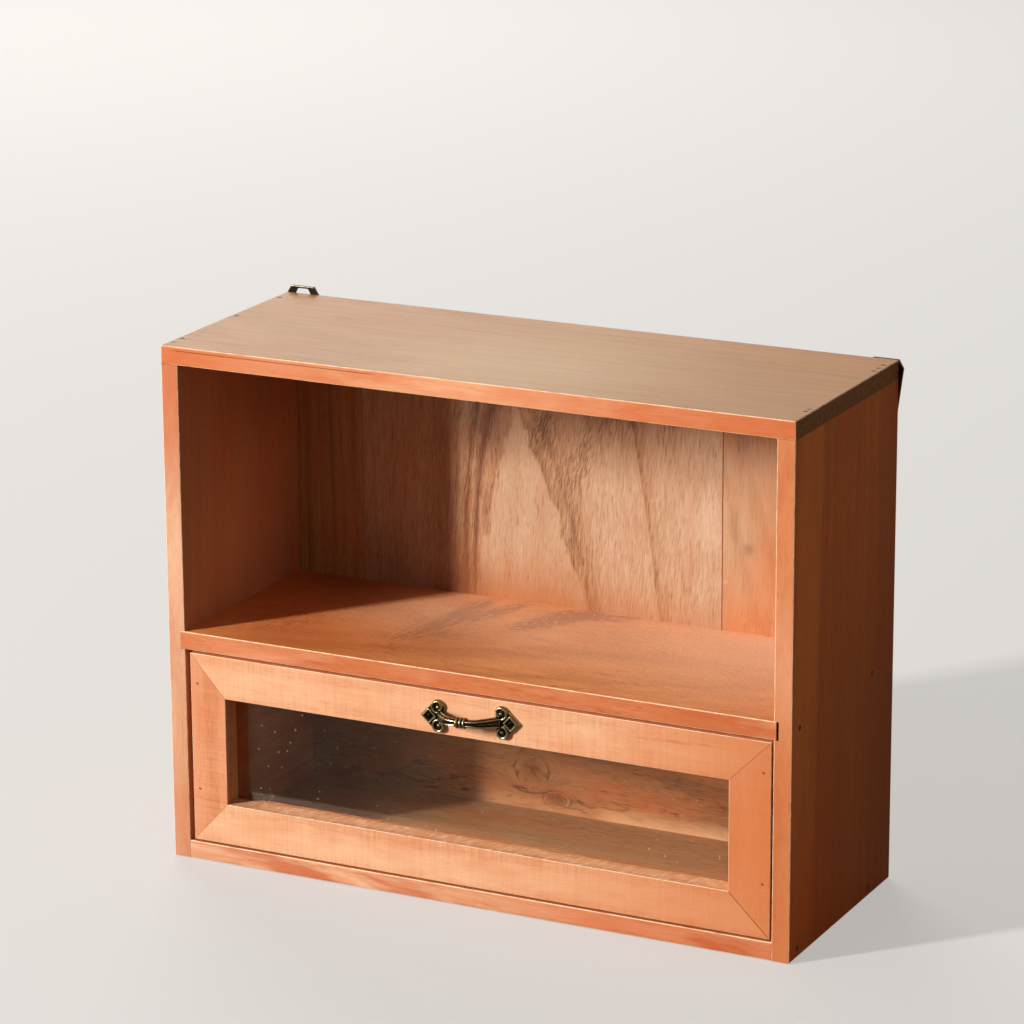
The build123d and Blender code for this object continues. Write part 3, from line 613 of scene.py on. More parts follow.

# %% [markdown]
# ## The boards of the cabinet
# The top is the palest, because most light falls on it and its stain has faded. The sides and the back are deeper;
# the right side's deep orange face colour is painted shade.
# The boards keep the shapes that the CAD gave them, with their rounded corners and nail holes. Places are in
# millimetres: (x, y, z) for nails and pools, (along, across) for curls.
# %% Top and sides
TOP_NAILS = [(side * 196.6, y, 315.0)
             for side, row in ((-1, (-65.4, -55.7, 7.3, 59.3)), (1, (-53.1, -47.9, 45.4, 52.3, 60.4))) for y in row]
SIDE_NAILS = [[(x, y, z) for y in (-63.9, 43.0) for z in (136.5, 5.5)] for x in (-200.0, 200.0)]
boards = {
    "top_panel": dict(face=("#C48E51", "#B67E46", "#895B2E"), edge=EDGE, deep="#C9612D", end="#6E3810", shiny=0.14,
        pith=(-40, -150), tilt=0.03, ring=4.0, rings=0.06, fibre=0.34, streak=0.16, pores=0.2, seed=1.3,
        mottle=(0.75, 0.08), lines=[((-192, 312.6), (-60, 312.8), 0.75)], stains=TOP_NAILS,
        pools=[((-200, -75, 308), 150, 0.7), ((200, -75, 308), 170, 0.7), ((-95, -75, 308), 40, 0.2),
               ((20, -75, 308), 120, 0.32, "#F0B084")],
        broad_pools=[((200, -75, 308), 260, 0.35, "#A87C52"), ((-200, 0, 315), 210, 0.4, "#AE7A40"),
                     ((10, -30, 315), 150, 0.45, "#CCA878")]),
    "left_side_panel": dict(axes="ZYX", face=("#C7946D", "#B27854", "#764528"),
        edge=("#DDB493", "#D59E79", "#B16F48"), deep="#C46432", pith=(30, -260), tilt=0.06, ring=9.0, rings=0.05,
        fibre=0.16, streak=0.14, pores=0.2, seed=4.1, mottle=(0.3, 0.3), blotch=[("#B9501F", 0.2, 40)],
        stains=SIDE_NAILS[0],
        pools=[((-195, -75, 300), 130, 0.8), ((-195, -75, 0), 90, 0.35), ((-195, -75, 190), 75, 0.25, "#F4C8A4")],
        # On the inner face, which stands in shade: the pale pool low down is painted light, and the dark pool near the
        # top is painted shade under the top.
        broad_pools=[((-189, -10, 165), 120, 0.45, "#DDA07A"), ((-189, 30, 290), 75, 0.4, "#6A3A1E")]),
    # Its face colours are a deep, saturated orange: painted shade, the warm colour of its outer face in shade. The
    # inward tint turns its face to the compartment back to plainer wood.
    "right_side_panel": dict(axes="ZYX", face=("#F68936", "#D96E27", "#8C3D0E"),
        edge=("#DE9563", "#D58351", "#B15B2E"), deep="#BB5C27", unshaded_inner_tint=(0.62, 1.0, 2.3), pith=(-400, 120), tilt=0.0,
        skew=0.033, ring=8.0, rings=0.03,
        bands=[(0, 0.5, 0.5), (330, 0.5, 0.5), (334, 0.5, 0.55), (338, 0.3, 0.3), (366, 0.25, 0.25),
               (371, 0.6, 0.6), (430, 0.55, 0.55), (482, 0.75, 0.75)], fibre=0.08, streak=0.12, pores=0.2,
        wander=2.0, seed=7.7, mottle=(0.4, 0.4), blotch=[("#B9501F", 0.2, 40)], stains=SIDE_NAILS[1],
        pools=[((195, -75, 0), 220, 0.5), ((195, -75, 175), 65, 0.3, "#F0B68C")],
        # On the outer face: the orange glow low at the front is painted reflected light from below, and the darkening
        # towards the back and the floor is painted shade.
        broad_pools=[((200, -75, 0), 130, 0.6, "#D4571C"), ((200, 75, 60), 230, 0.45, "#7A3A14")]),
}
print("nails in the top:", len(TOP_NAILS))

# %% [markdown]
# The bottom and the shelf lie flat. The shelf is the liveliest board: its fibres curl in dark patches in front of
# the middle. Its broad pools hold painted shade, deeper orange and dark brown on the shadow side to the left, and
# painted light, paler on the side to the light.
# %% Bottom and shelf
boards |= {
    "bottom_panel": dict(face=("#D9925F", "#C67A48", "#8A4A25"), edge=("#E3B188", "#DD9D73", "#B86D40"),
        deep="#CA622E", pith=(10, -90), ring=5.0, rings=0.15, seed=2.9,
        blotch=[("#F6C8A0", 0.3, 110), ("#B84E1E", 0.65, 75)],
        pools=[((170, -75, 5), 210, 0.6), ((90, -75, 5), 50, 0.4)]),
    "middle_shelf": dict(face=("#FFB974", "#F79F5C", "#8C3C14"), edge=("#D68557", "#C97241", "#A34D22"),
        deep="#C05E2E", relief=0.14, pith=(20, -55), tilt=0.09, ring=5.5, rings=0.08, fibre=0.22, streak=0.12,
        pores=0.3, wander=9.0, speckle=0.1, seed=5.5, mottle=(0.6, 0.35),
        blotch=[("#F4B48C", 0.3, 90), ("#B84E1E", 0.45, 70)],
        curls=[((-58, 22), 84, (54, 11), (22, 1.5), 1.6), ((-41, 36), 66, (36, 11), (14, 1.5), 1.4),
               ((-2, 40), 62, (46, 16), (5, 2.1), 1.9), ((28, 62), 30, (36, 15), (5, 2.3), 1.8),
               ((-60, 0), 82, (80, 34), (20, 1.8), 0.5), ((-150, -30), 88, (50, 40), (14, 1.6), 0.45)],
        pools=[((140, -75, 130), 35, 0.5), ((-150, -75, 130), 60, 0.2, "#F0A47C")],
        # Painted light and shade: the deeper orange pool over the left and the dark brown one at the back left are
        # painted shade where the left side's shadow falls; the strong pale pool at the back right is painted light.
        broad_pools=[((-150, -40, 137), 190, 0.55, "#D8743E"), ((150, 62, 137), 180, 0.9, "#FFD2AC"),
                     ((0, 25, 137), 120, 0.4, "#FFD2AC"), ((-75, 28, 137), 80, 0.35, "#FFCFA6"),
                     ((-40, -30, 137), 60, 0.35, "#A85828"), ((-120, -72, 137), 75, 0.3, "#BC5626"),
                     ((-150, 55, 137), 85, 0.5, "#643620")]),
}
print("boards so far:", len(boards))

# %% [markdown]
# The back is three upright boards. The middle one was sawn flat, close to the pith, and shows a tall arched flame
# with ragged dark lips. Its bands give the rings on both sides of the flame, from the pith outwards.
# %% Back boards
boards |= {
    "back_board_left": dict(axes="ZXY", face=("#C59764", "#A97544", "#643E1E"),
        edge=("#C59764", "#A97544", "#643E1E"), wear_and_highlight="#A86C42", pith=(-260, 40), tilt=0.05, ring=5.0, rings=0.12,
        fibre=0.3, seed=3.3),
    "back_board_middle": dict(axes="ZXY", face=("#CBAC8D", "#B48861", "#663C22"),
        edge=("#CDAE91", "#B68963", "#663C22"), wear_and_highlight="#A86C42", pith=(-11.5, 59.65), tilt=-0.176, skew=-0.1,
        ring=3.2, rings=0.05,
        bands=[(0, 0.4, 0.4), (43, 0.42, 0.42), (45, 0.8, 0.5), (47.5, 0.4, 0.42), (50, 0.75, 0.4), (53, 0.4, 0.36),
               (56, 0.7, 0.34), (59, 0.4, 0.3), (66, 0.5, 0.28), (80, 0.4, 0.28), (87.5, 0.4, 0.28),
               (88.5, 0.4, 0.6), (93, 0.4, 0.4), (100, 0.4, 0.3), (125, 0.4, 0.3)], flame=(1.25, 1.37, 45.6, 0.2),
        fibre=0.5, streak=0.16, pores=0.32, wander=3.0, lean=0.09, curly=5.0, strand=12.0, seed=9.2,
        mottle=(0.15, 0.15),
        curls=[((250, -20), 24, (28, 16), (7, 1.1), 0.5), ((236, 4), 20, (44, 18), (7, 1.1), 0.5),
               ((262, 28), 16, (26, 28), (8, 1.1), 0.55), ((262, 62), 3, (30, 14), (12, 1.1), 0.55),
               ((228, -70), 12, (95, 14), (18, 1.1), 0.3)],
        # Painted shade among these pools: the dark pools high up at x 5 and 40 are partly the wood's own colour, partly
        # painted shade under the top. At x -60, z 247 the top's shadow is painted deeper, and at x -76, z 148 the left
        # side's shadow. The three brown pools at x -82 paint the edge of that shadow, and the large dark pool at x -120
        # is partly the wood's own colour, partly painted shade inside it.
        pools=[((-118, 66, 225), 70, 0.3, "#C0703A"), ((-62, 66, 130), 54, 0.9, "#AC5E24"),
               ((-15, 66, 128), 58, 0.95, "#AC5E24"), ((40, 66, 126), 52, 0.8, "#AC5E24"),
               ((84, 66, 126), 46, 0.6, "#AC5E24"), ((5, 66, 274), 46, 0.5, "#6B3A1E"),
               ((40, 66, 284), 50, 0.45, "#7C4018"), ((86, 66, 205), 30, 0.22, "#EAD0B4"),
               ((-60, 66, 247), 28, 0.6, "#5A3018"), ((-76, 66, 148), 28, 0.55, "#6A3414"),
               ((38, 66, 240), 28, 0.3, "#9A5E36"), ((-82, 66, 236), 24, 0.35, "#9A5A30"),
               ((-82, 66, 205), 24, 0.35, "#9A5A30"), ((-82, 66, 174), 24, 0.35, "#9A5A30"),
               ((-120, 66, 150), 70, 0.5, "#84421C")]),
    "back_board_right": dict(axes="ZXY", face=("#D2AC8F", "#BC8F69", "#764A2F"),
        edge=("#D2AC8F", "#BC8F69", "#764A2F"), wear_and_highlight="#A86C42", deep="#C87440", pith=(160, 190), tilt=0.12,
        ring=6.0, rings=0.08, fibre=0.22, pores=0.12, lean=0.05, curly=4.0, strand=14.0, seed=6.4,
        curls=[((262, 118), 0, (30, 26), (14, 1.1), 0.5), ((148, 118), 0, (16, 24), (9, 1.2), 0.4)],
        # The dark pool high up at x 110 is partly the wood's own colour, partly painted shade under the top.
        pools=[((132, 66, 182), 34, 0.6), ((122, 66, 148), 40, 0.7), ((104, 66, 142), 26, 0.5),
               ((113, 66, 194), 6, 0.7, "#7E5A44"), ((98, 66, 172), 3, 0.8, "#F2C8A8"),
               ((110, 66, 276), 42, 0.5, "#7C4218"), ((120, 66, 250), 30, 0.25, "#E8C09C")]),
}
for node, settings in boards.items():
    finish_with(frame["nodes"][node], timber("stained_fir_" + node, **settings))
print("boards finished:", len(boards))

# %% [markdown]
# ## The drawer's wood
# The front frame is planed paler than the cabinet, with saw marks left across its grain. The four members are cut
# at 45 degrees, so the grain runs round the frame: across on the rails and upright on the stiles.
# %% Front frame
CORNERS = [((-185.7, 129.4), (-162.6, 103.6), 0.4), ((187.8, 129.4), (162.2, 103.6), 0.45),
           ((-185.7, 12.5), (-162.6, 37.4), 0.3), ((187.8, 12.5), (162.2, 37.4), 0.8)]
PLANED = dict(face=("#EAA878", "#DC9464", "#A8623A"), edge=("#ECBA8E", "#E5A97E", "#C47D50"), deep="#CE7037",
              ring=6.0, rings=0.12, fibre=0.25, streak=0.2, pores=0.16, saw=0.3, lines=CORNERS)
STILE = dict(PLANED, axes="ZXY", edge=("#DFA27A", "#D88E64", "#B36A3D"))
drawer_boards = {
    "front_top_rail": dict(PLANED, axes="XZY", pith=(60, 40), seed=0.4,
        knots=[(128.0, 121.0, 11.0, 0.9, 0.8), (146.0, 122.0, 9.0, 0.7, 0.6), (108.0, 120.2, 8.0, 0.5, 0.6)],
        pools=[((190, -75, 120), 130, 0.8)]),
    "front_bottom_rail": dict(PLANED, axes="XZY", pith=(-30, 60), torn_glint_level=37.4, seed=8.8,
        pools=[((190, -75, 20), 220, 0.7)]),
    "front_left_stile": dict(STILE, pith=(-230, 50), seed=3.9),
    "front_right_stile": dict(STILE, pith=(240, 40), seed=6.1, pools=[((190, -75, 70), 120, 0.8)]),
}
print("mitres:", len(CORNERS))

# %% [markdown]
# The box behind the frame is plainer wood with less stain. Its back shows through the glass. That board has one
# round knot with dark rings and rows of short dark flecks beside it. Along its head is painted shadow, where the
# top rail's shadow falls, and along its foot painted light, where the lamp reaches it below that shadow.
# %% Drawer box
BOX_WOOD = dict(face=("#C79E80", "#B27F5A", "#6B4125"), edge=("#C79E80", "#B27F5A", "#6B4125"), ring=6.0,
                rings=0.12, fibre=0.25, streak=0.15, seed=2.2)
for bead in ("top", "bottom", "left", "right"):
    drawer_boards["glazing_bead_" + bead] = dict(BOX_WOOD, axes="XZY" if bead in ("top", "bottom") else "ZXY")
for side in ("left", "right"):
    drawer_boards["drawer_" + side + "_side"] = dict(BOX_WOOD, axes="YZX", pith=(150, -60))
# Painted light: a pale foot where the lamp reaches the back below the top rail's shadow, strongest right of x 20.
LAMP_LIGHT_PAINTED_LOW = [((x, 55, 12), 17, 0.55 if x > 20 else 0.2, "#E8C4AA") for x in range(-54, 160, 14)]
# Painted shadow of the top rail along the back's head.
RAIL_SHADOW_PAINTED = [((x, 55, 78), 44, 0.4, "#5C341C") for x in range(-60, 170, 30)]
drawer_boards["drawer_back"] = dict(BOX_WOOD, axes="XZY", edge=("#AC866F", "#966B4D", "#533320"), pith=(40, 20),
    tilt=0.05, ring=5.0, rings=0.15, pores=0.4, wander=8.0, seed=5.1,
    knots=[(-8.0, 22.5, 7.2, 4.3, 1.15), (-25.0, 38.0, 9.0, 8.0, 0.08)],
    flecks=[(21.0, 8.0, 0.9, 0.56), (31.0, 8.0, 0.3, 0.57)],
    pools=RAIL_SHADOW_PAINTED + LAMP_LIGHT_PAINTED_LOW + [((-25, 55, 40), 11, 0.5, "#6E3E22")])
drawer_boards["drawer_bottom"] = dict(BOX_WOOD, axes="XYZ", face=("#C2AF9D", "#AC8B6F", "#68482F"), pith=(0, -200),
    rings=0.1, fibre=0.4, streak=0.2, pores=0.5, seed=4.4)
for node, settings in drawer_boards.items():
    finish_with(frame["nodes"][node], timber("planed_fir_" + node, **settings))
print("drawer boards finished:", len(drawer_boards))

# %% [markdown]
# ## Glass
# The pane is ordinary float glass, 2 mm thick and not quite clean: a thin haze and a few specks of dust scatter
# light where they lie. Lamp rays pass straight through, because a path tracer would otherwise leave the drawer
# black.
# %% Float glass
float_glass, tree, shader = material("float_glass", Roughness=0.03, IOR=1.5)
shader.inputs["Base Color"].default_value = rgb("#F3E0C6")
mm = millimetres(tree)
haze = add(tree, NOISE, {"Vector": mm, "Scale": 0.03, "Detail": 4.0})
haze = add(tree, RANGE, {0: haze, 1: 0.3, 2: 0.75, 3: 0.0, 4: 0.006})
speck = add(tree, "ShaderNodeTexVoronoi", {"Vector": mm, "Scale": 0.16, "Randomness": 1.0}, out="Distance")
speck = add(tree, RANGE, {0: speck, 1: 0.07, 2: 0.035, 3: 0.0, 4: 0.5})
dust = add(tree, MATH, {0: haze, 1: speck}, operation="MAXIMUM")
tree.links.new(add(tree, MATH, {0: 1.0, 1: dust}, operation="SUBTRACT"), shader.inputs["Transmission Weight"])
clear = add(tree, "ShaderNodeBsdfTransparent", {"Color": rgb("#F2F0EA")})
pane = add(tree, "ShaderNodeMixShader", {0: add(tree, "ShaderNodeLightPath", out="Is Shadow Ray"),
                                         1: shader.outputs[0], 2: clear})
tree.links.new(pane, tree.nodes["Material Output"].inputs["Surface"])
finish_with(frame["nodes"]["glass_pane"], float_glass)
print("glass finished")

# %% [markdown]
# ## Metal
# The pull and the hanging plates are cast and pressed metal with an antique bronze finish: nearly black in the
# hollows, pale and greenish gold where hands and polishing have rubbed it through.
# %% Antique bronze


def bronze(name, dark, rubbed, low, high):
    """Dark metal, rubbed bare where its 'rubbed' attribute, with a few spots added, goes from low to high."""
    made, tree, shader = material(name, Metallic=1.0)
    proud = add(tree, "ShaderNodeAttribute", out="Fac", attribute_name="rubbed")
    spotty = add(tree, NOISE, {"Vector": millimetres(tree), "Scale": 0.9, "Detail": 4.0})
    proud = add(tree, MATH, {0: spotty, 1: 0.25, 2: proud}, operation="MULTIPLY_ADD")
    bare = add(tree, RANGE, {0: proud, 1: low, 2: high}, interpolation_type="SMOOTHSTEP")
    colour = add(tree, MIX, {0: bare, 6: rgb(dark), 7: rgb(rubbed)}, out=2, data_type="RGBA")
    tree.links.new(colour, shader.inputs["Base Color"])
    tree.links.new(add(tree, RANGE, {0: bare, 3: 0.48, 4: 0.27}), shader.inputs["Roughness"])
    bump = add(tree, "ShaderNodeBump", {"Strength": 0.2, "Distance": 0.2 * MM, "Height": spotty})
    tree.links.new(bump, shader.inputs["Normal"])
    return made


antique_bronze = bronze("antique_bronze", "#211A11", "#AFA37C", 0.62, 0.88)
dull_bronze = bronze("dull_bronze", "#241F18", "#6E6654", 0.86, 1.12)
print("bronze ready")

# %% Steel
# Nails are tarnished dark. The four in the drawer's front are coppered against rust, and look reddish.
nail_steel, tree, shader = material("nail_steel", Metallic=1.0)
tarnish = add(tree, NOISE, {"Vector": millimetres(tree), "Scale": 0.8, "Detail": 3.0})
colour = add(tree, RAMP, {0: tarnish}, stops=[(0.35, rgb("#1E140E")), (0.65, rgb("#4A372A"))])
tree.links.new(colour, shader.inputs["Base Color"])
tree.links.new(add(tree, RANGE, {0: tarnish, 3: 0.45, 4: 0.7}), shader.inputs["Roughness"])
coppered_steel, tree, shader = material("coppered_steel", Metallic=1.0, Roughness=0.6)
shader.inputs["Base Color"].default_value = rgb("#A86840")
print("steel ready")

# %% [markdown]
# ## Castings
# A casting has no sharp inner corners, because its sand or die rounds them all. Here each one is first put together
# from overlapping closed shapes, in millimetres. A voxel remesh then fuses them into one skin, a little smoothing
# rounds it, and the same skin tells where it stands proud: a place that lies outside its smoothed copy gets rubbed.
# %% Wires and plates


def plain_mesh(thing):
    """What an object looks like with its modifiers on, as a mesh of its own; the object itself goes."""
    bpy.context.scene.collection.objects.link(thing)
    bpy.context.view_layer.update()
    mesh = bpy.data.meshes.new_from_object(thing.evaluated_get(bpy.context.evaluated_depsgraph_get()))
    bpy.data.objects.remove(thing)
    return mesh


def tube(points, sizes):
    """A round wire through the points, each with its own radius, as a closed mesh."""
    line = bpy.data.curves.new("tube", "CURVE")
    line.dimensions, line.bevel_depth, line.bevel_resolution, line.use_fill_caps = "3D", 1.0, 3, True
    spline = line.splines.new("POLY")
    spline.points.add(len(points) - 1)
    for point, place, size in zip(spline.points, points, sizes):
        point.co, point.radius = (*place, 1.0), size
    return plain_mesh(bpy.data.objects.new("tube", line))


def slab(outlines, thick, bevel):
    """A flat plate from its outline and holes, each a list of (x, z), with rounded edges; its back is at y = 0."""
    line = bpy.data.curves.new("slab", "CURVE")
    line.dimensions, line.fill_mode, line.bevel_resolution = "2D", "BOTH", 2
    line.extrude, line.bevel_depth, line.offset = thick / 2 - bevel, bevel, -bevel
    for outline in outlines:
        spline = line.splines.new("POLY")
        spline.points.add(len(outline) - 1)
        spline.use_cyclic_u = True
        for point, (x, z) in zip(spline.points, outline):
            point.co = (x, z, 0, 1)
    mesh = plain_mesh(bpy.data.objects.new("slab", line))
    mesh.transform(Matrix.Translation((0, -thick / 2, 0)) @ Matrix.Rotation(math.pi / 2, 4, "X"))
    return mesh


print("wires and plates ready")

# %% Lofted shapes


def circle(count):
    """Angles at even steps round a circle."""
    return [math.tau * i / count for i in range(count)]


def lofted(sections):
    """A skin over closed rings of points, with both ends shut."""
    skin = bmesh.new()
    rings = [[skin.verts.new(point) for point in ring] for ring in sections]
    count = len(rings[0])
    for near, far in zip(rings, rings[1:]):
        for i in range(count):
            skin.faces.new((near[i], near[(i + 1) % count], far[(i + 1) % count], far[i]))
    skin.faces.new(list(reversed(rings[0])))
    skin.faces.new(rings[-1])
    bmesh.ops.recalc_face_normals(skin, faces=skin.faces)
    mesh = bpy.data.meshes.new("lofted")
    skin.to_mesh(mesh)
    skin.free()
    return mesh


def ball(centre, radius, rings=12):
    x, y, z = centre
    return lofted([[(x + radius * math.sin(b) * math.cos(a), y - radius * math.cos(b),
                     z + radius * math.sin(b) * math.sin(a)) for a in circle(20)]
                   for b in (math.pi * (i + 0.5) / rings for i in range(rings))])


print("lofted shapes ready")

# %% One skin round them all
JUST_IN_FRONT = -0.01      # mm; a casting ends flat, this close to what it is screwed to


def numbers(items, what, wide, kind=float):
    """One property of all vertices or edges, as rows of numbers."""
    rows = np.zeros(len(items) * wide, kind)
    items.foreach_get(what, rows)
    return rows.reshape(-1, wide)


def one_skin(name, shapes, voxel, softening):
    """One closed skin round all the shapes, made of cells of the voxel's size and then softened."""
    lump = bmesh.new()
    for mesh in shapes:
        lump.from_mesh(mesh)
    mesh = bpy.data.meshes.new(name)
    lump.to_mesh(mesh)
    lump.free()
    rough = bpy.data.objects.new(name, mesh)
    skin = rough.modifiers.new("fuse", "REMESH")
    skin.mode, skin.voxel_size = "VOXEL", voxel
    soften = rough.modifiers.new("soften", "SMOOTH")
    soften.factor, soften.iterations = 0.5, softening
    mesh = plain_mesh(rough)
    points = numbers(mesh.vertices, "co", 3)
    points[:, 1] = np.minimum(points[:, 1], JUST_IN_FRONT)
    mesh.vertices.foreach_set("co", points.ravel())
    mesh.update()
    return mesh


print("fusing ready")

# %% Where a casting gets rubbed


def how_proud(mesh, reach):
    """How far each point lies outside its smoothed copy, from 0 in a hollow to 1 on a ridge."""
    points, normals = numbers(mesh.vertices, "co", 3), numbers(mesh.vertices, "normal", 3)
    a, b = numbers(mesh.edges, "vertices", 2, int).T
    neighbours = np.bincount(np.concatenate((a, b)), minlength=len(points))[:, None]
    smooth = points.copy()
    for _ in range(reach):
        total = np.zeros_like(smooth)
        np.add.at(total, a, smooth[b])
        np.add.at(total, b, smooth[a])
        smooth = total / neighbours
    proud = ((points - smooth) * normals).sum(1)
    return np.clip(0.5 + proud / (4 * np.std(proud) + 1e-9), 0, 1)


def fused(name, shapes, voxel, softening, reach, place, finish):
    """A casting from its shapes, set in its place, with how far it stands proud kept as 'rubbed'."""
    mesh = one_skin(name, shapes, voxel, softening)
    proud = how_proud(mesh, reach).astype(np.float32)
    mesh.attributes.new("rubbed", "FLOAT", "POINT").data.foreach_set("value", proud)
    mesh.transform(Matrix.Scale(MM, 4) @ place)
    mesh.shade_smooth()
    made = bpy.data.objects.new(name, mesh)
    bpy.context.scene.collection.objects.link(made)
    finish_with(made, finish)
    print(name, "has", len(mesh.polygons), "faces")
    return made


print("castings ready")

# %% [markdown]
# ## The bow pull
# The pull is one small casting: a bowed bar with three rings round its middle, and at each end a plate with two
# scrolls and a square boss that its screw sits in. The bar is lofted through ovals along the bow. Two ridges run
# along its front, leave it at the ends and curl round the scrolls as one line, which is what gives it its look.
# %% The bar
PULL_HALF, PULL_STAND, PLATE = 32.2, 12.2, 1.7      # out to a tip, off the drawer, and how thick a plate is
BAR_ROOT, BAR_LIFT, BAR_DEEP, BAR_TALL = 20.0, 1.3, 2.3, 2.6
NUDGE = 0.3


def bow(out):
    """How far the middle of the bar stands off the drawer, at a distance out from its centre."""
    share = (1 + math.cos(math.pi * (min(out, BAR_ROOT) / BAR_ROOT) ** 2.3)) / 2
    return PLATE * 0.7 + share * (PULL_STAND - PLATE * 0.7)


def rise(out):
    """How far the bar lies above the middle of its plates."""
    return BAR_LIFT * min(1.0, bow(out) / PULL_STAND + 0.2)


def bar_shape():
    """Ovals along the bow, thinner at the waist between the rings and the ends, and taller towards the plates."""
    sections = []
    for step in range(-40, 41):
        out = step * BAR_ROOT / 40
        far = abs(out)
        slope = (bow(min(far + NUDGE, BAR_ROOT)) - bow(max(far - NUDGE, 0))) / (2 * NUDGE) * (1 if out >= 0 else -1)
        lean = math.atan(slope)
        waist = 1 - 0.12 * math.exp(-((far - 6) / 4) ** 2)
        deep, tall = BAR_DEEP * waist, BAR_TALL * waist * (1 + 0.35 * (far / BAR_ROOT) ** 3)
        sections.append([(out - BAR_DEEP * math.cos(t) * math.sin(lean),
                          -bow(far) - deep * math.cos(t) * math.cos(lean),
                          rise(far) + tall * math.sin(t)) for t in circle(28)])
    return lofted(sections)


print("the bar stands", PULL_STAND, "mm off the drawer")

# %% The rings and the two ridges
SCROLL_X, SCROLL_Z, SCROLL_R, LINE_R = 20.6, 5.6, 4.4, 3.35
RING_APART, RING_WIDE = 2.35, 1.7
RING_PROFILE = ((0.0, 2.4), (0.1, 3.0), (0.35, 3.3), (0.85, 3.45), (1.35, 3.3), (1.6, 3.0), (RING_WIDE, 2.4))


def middle_ring(turn):
    start = turn * RING_APART - RING_WIDE / 2
    return lofted([[(start + x, -PULL_STAND - r * math.cos(t), BAR_LIFT + r * math.sin(t)) for t in circle(28)]
                   for x, r in RING_PROFILE])


def ridge(side, up):
    """The line from the bar's middle, along its front and round one scroll, to its curl."""
    path, sizes = [], []
    for out in (3.4, 5, 7, 9, 11, 13, 14.5, 16, 17.3, 18.4):
        away = 1.15 + 1.2 * (out / 19) ** 2
        lean = math.atan((bow(out + NUDGE) - bow(out - NUDGE)) / (2 * NUDGE))
        off = 1.95 - 0.5 * (out / 19) ** 3
        path.append((side * (out - off * math.sin(lean)), -bow(out) - off * math.cos(lean),
                     rise(out) * (1 - (out / 21) ** 4) + up * away))
        sizes.append(0.62)
    for degrees in range(-108, 250, 9):
        turn = math.radians(degrees)
        curled = max(0, degrees - 150) / 100      # the last part of the line winds inwards and gets thin
        curl = LINE_R * (1 - 0.42 * curled)
        path.append((side * (SCROLL_X + curl * math.cos(turn)), -PLATE - 0.45,
                     up * (SCROLL_Z + curl * math.sin(turn))))
        sizes.append(0.78 - 0.25 * curled)
    return tube(path, sizes)


print("rings and ridges ready")

# %% The leaf plates, and the whole pull
BOSS_X, BOSS_REACH = 26.2, 4.1


def leaf_plate(side):
    """One end of the pull: two scrolls with an eye each, the web between them, and the boss round the screw."""
    shapes = []
    for up in (-1, 1):
        scroll = [(side * SCROLL_X + SCROLL_R * math.cos(t), up * SCROLL_Z + SCROLL_R * math.sin(t))
                  for t in circle(32)]
        shapes.append(slab([scroll], PLATE - 0.2, 0.4))
        shapes.append(ball((side * (SCROLL_X - 0.35), -PLATE, up * (SCROLL_Z - 0.1)), 1.3))
        shapes.append(ridge(side, up))
    web = [(16.5, 3.6), (SCROLL_X - 2, 8.6), (SCROLL_X + 1.6, SCROLL_Z + 4.1), (BOSS_X + 1.0, 4.9),
           (PULL_HALF - 1.2, 1.1), (PULL_HALF, 0)]
    web = web + [(x, -z) for x, z in reversed(web[:-1])]
    shapes.append(slab([[(side * x, z) for x, z in web]], PLATE, 0.45))
    boss = [(BOSS_X + BOSS_REACH, 0), (BOSS_X, BOSS_REACH), (BOSS_X - BOSS_REACH, 0), (BOSS_X, -BOSS_REACH)]
    shapes.append(tube([(side * x, -PLATE - 0.35, z) for x, z in boss + boss[:2]], [0.95] * 6))
    shapes.append(tube([(side * (BOSS_X + 4), -PLATE, 0), (side * (PULL_HALF - 0.6), -PLATE * 0.6, 0)], [0.9, 0.5]))
    return shapes


PULL_MIDDLE, PULL_TILT = (0.8, FRONT_Y, 115.7), math.radians(2.7)
pull_shapes = [bar_shape()] + [middle_ring(turn) for turn in (-1, 0, 1)] + leaf_plate(-1) + leaf_plate(1)
pull_place = Matrix.Translation(PULL_MIDDLE) @ Matrix.Rotation(-PULL_TILT, 4, "Y")
pull = fused("bow_pull", pull_shapes, 0.24, 3, 10, pull_place, antique_bronze)
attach(pull, "drawer")
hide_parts("pull_handle")

# %% [markdown]
# ## The hanging plates
# Two pressed plates hang the cabinet on a wall. Each has a slot that drops over a screw in the wall, wide below
# and narrow above, and two screws of its own. They are cut from the outline of the CAD, with rolled edges.
# %% Hanging plates
PLATE_SPOTS = {"left": (-189.3, 319.5), "right": (192.0, 315.3)}
PLATE_SCREWS, HOLE_R = (20.0, 34.0), 1.5
TAIL_R, TAIL_DOWN, PRESSED = 6.6, 38.4, 1.5
tail = [(TAIL_R * math.cos(t), -TAIL_DOWN + TAIL_R * math.sin(t)) for t in (-math.pi * i / 16 for i in range(17))]
plate_line = [(-11.0, -5.0), (-8.0, 0.0), (8.0, 0.0), (11.0, -5.0)] + tail
slot_right = [(3.2, -1.7), (3.6, -1.9), (7.1, -8.5), (7.0, -8.9)]
slot_line = [(-x, z) for x, z in reversed(slot_right)] + slot_right
holes = [[(HOLE_R * math.cos(t), -down + HOLE_R * math.sin(t)) for t in circle(24)] for down in PLATE_SCREWS]
for side, (x, z) in PLATE_SPOTS.items():
    plate = fused("hanging_plate_" + side + "_pressed", [slab([plate_line, slot_line] + holes, PRESSED, 0.35)],
                  0.3, 2, 6, Matrix.Translation((x, 76.51, z)), dull_bronze)
    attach(plate, "cabinet")
    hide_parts("hanging_plate_" + side)

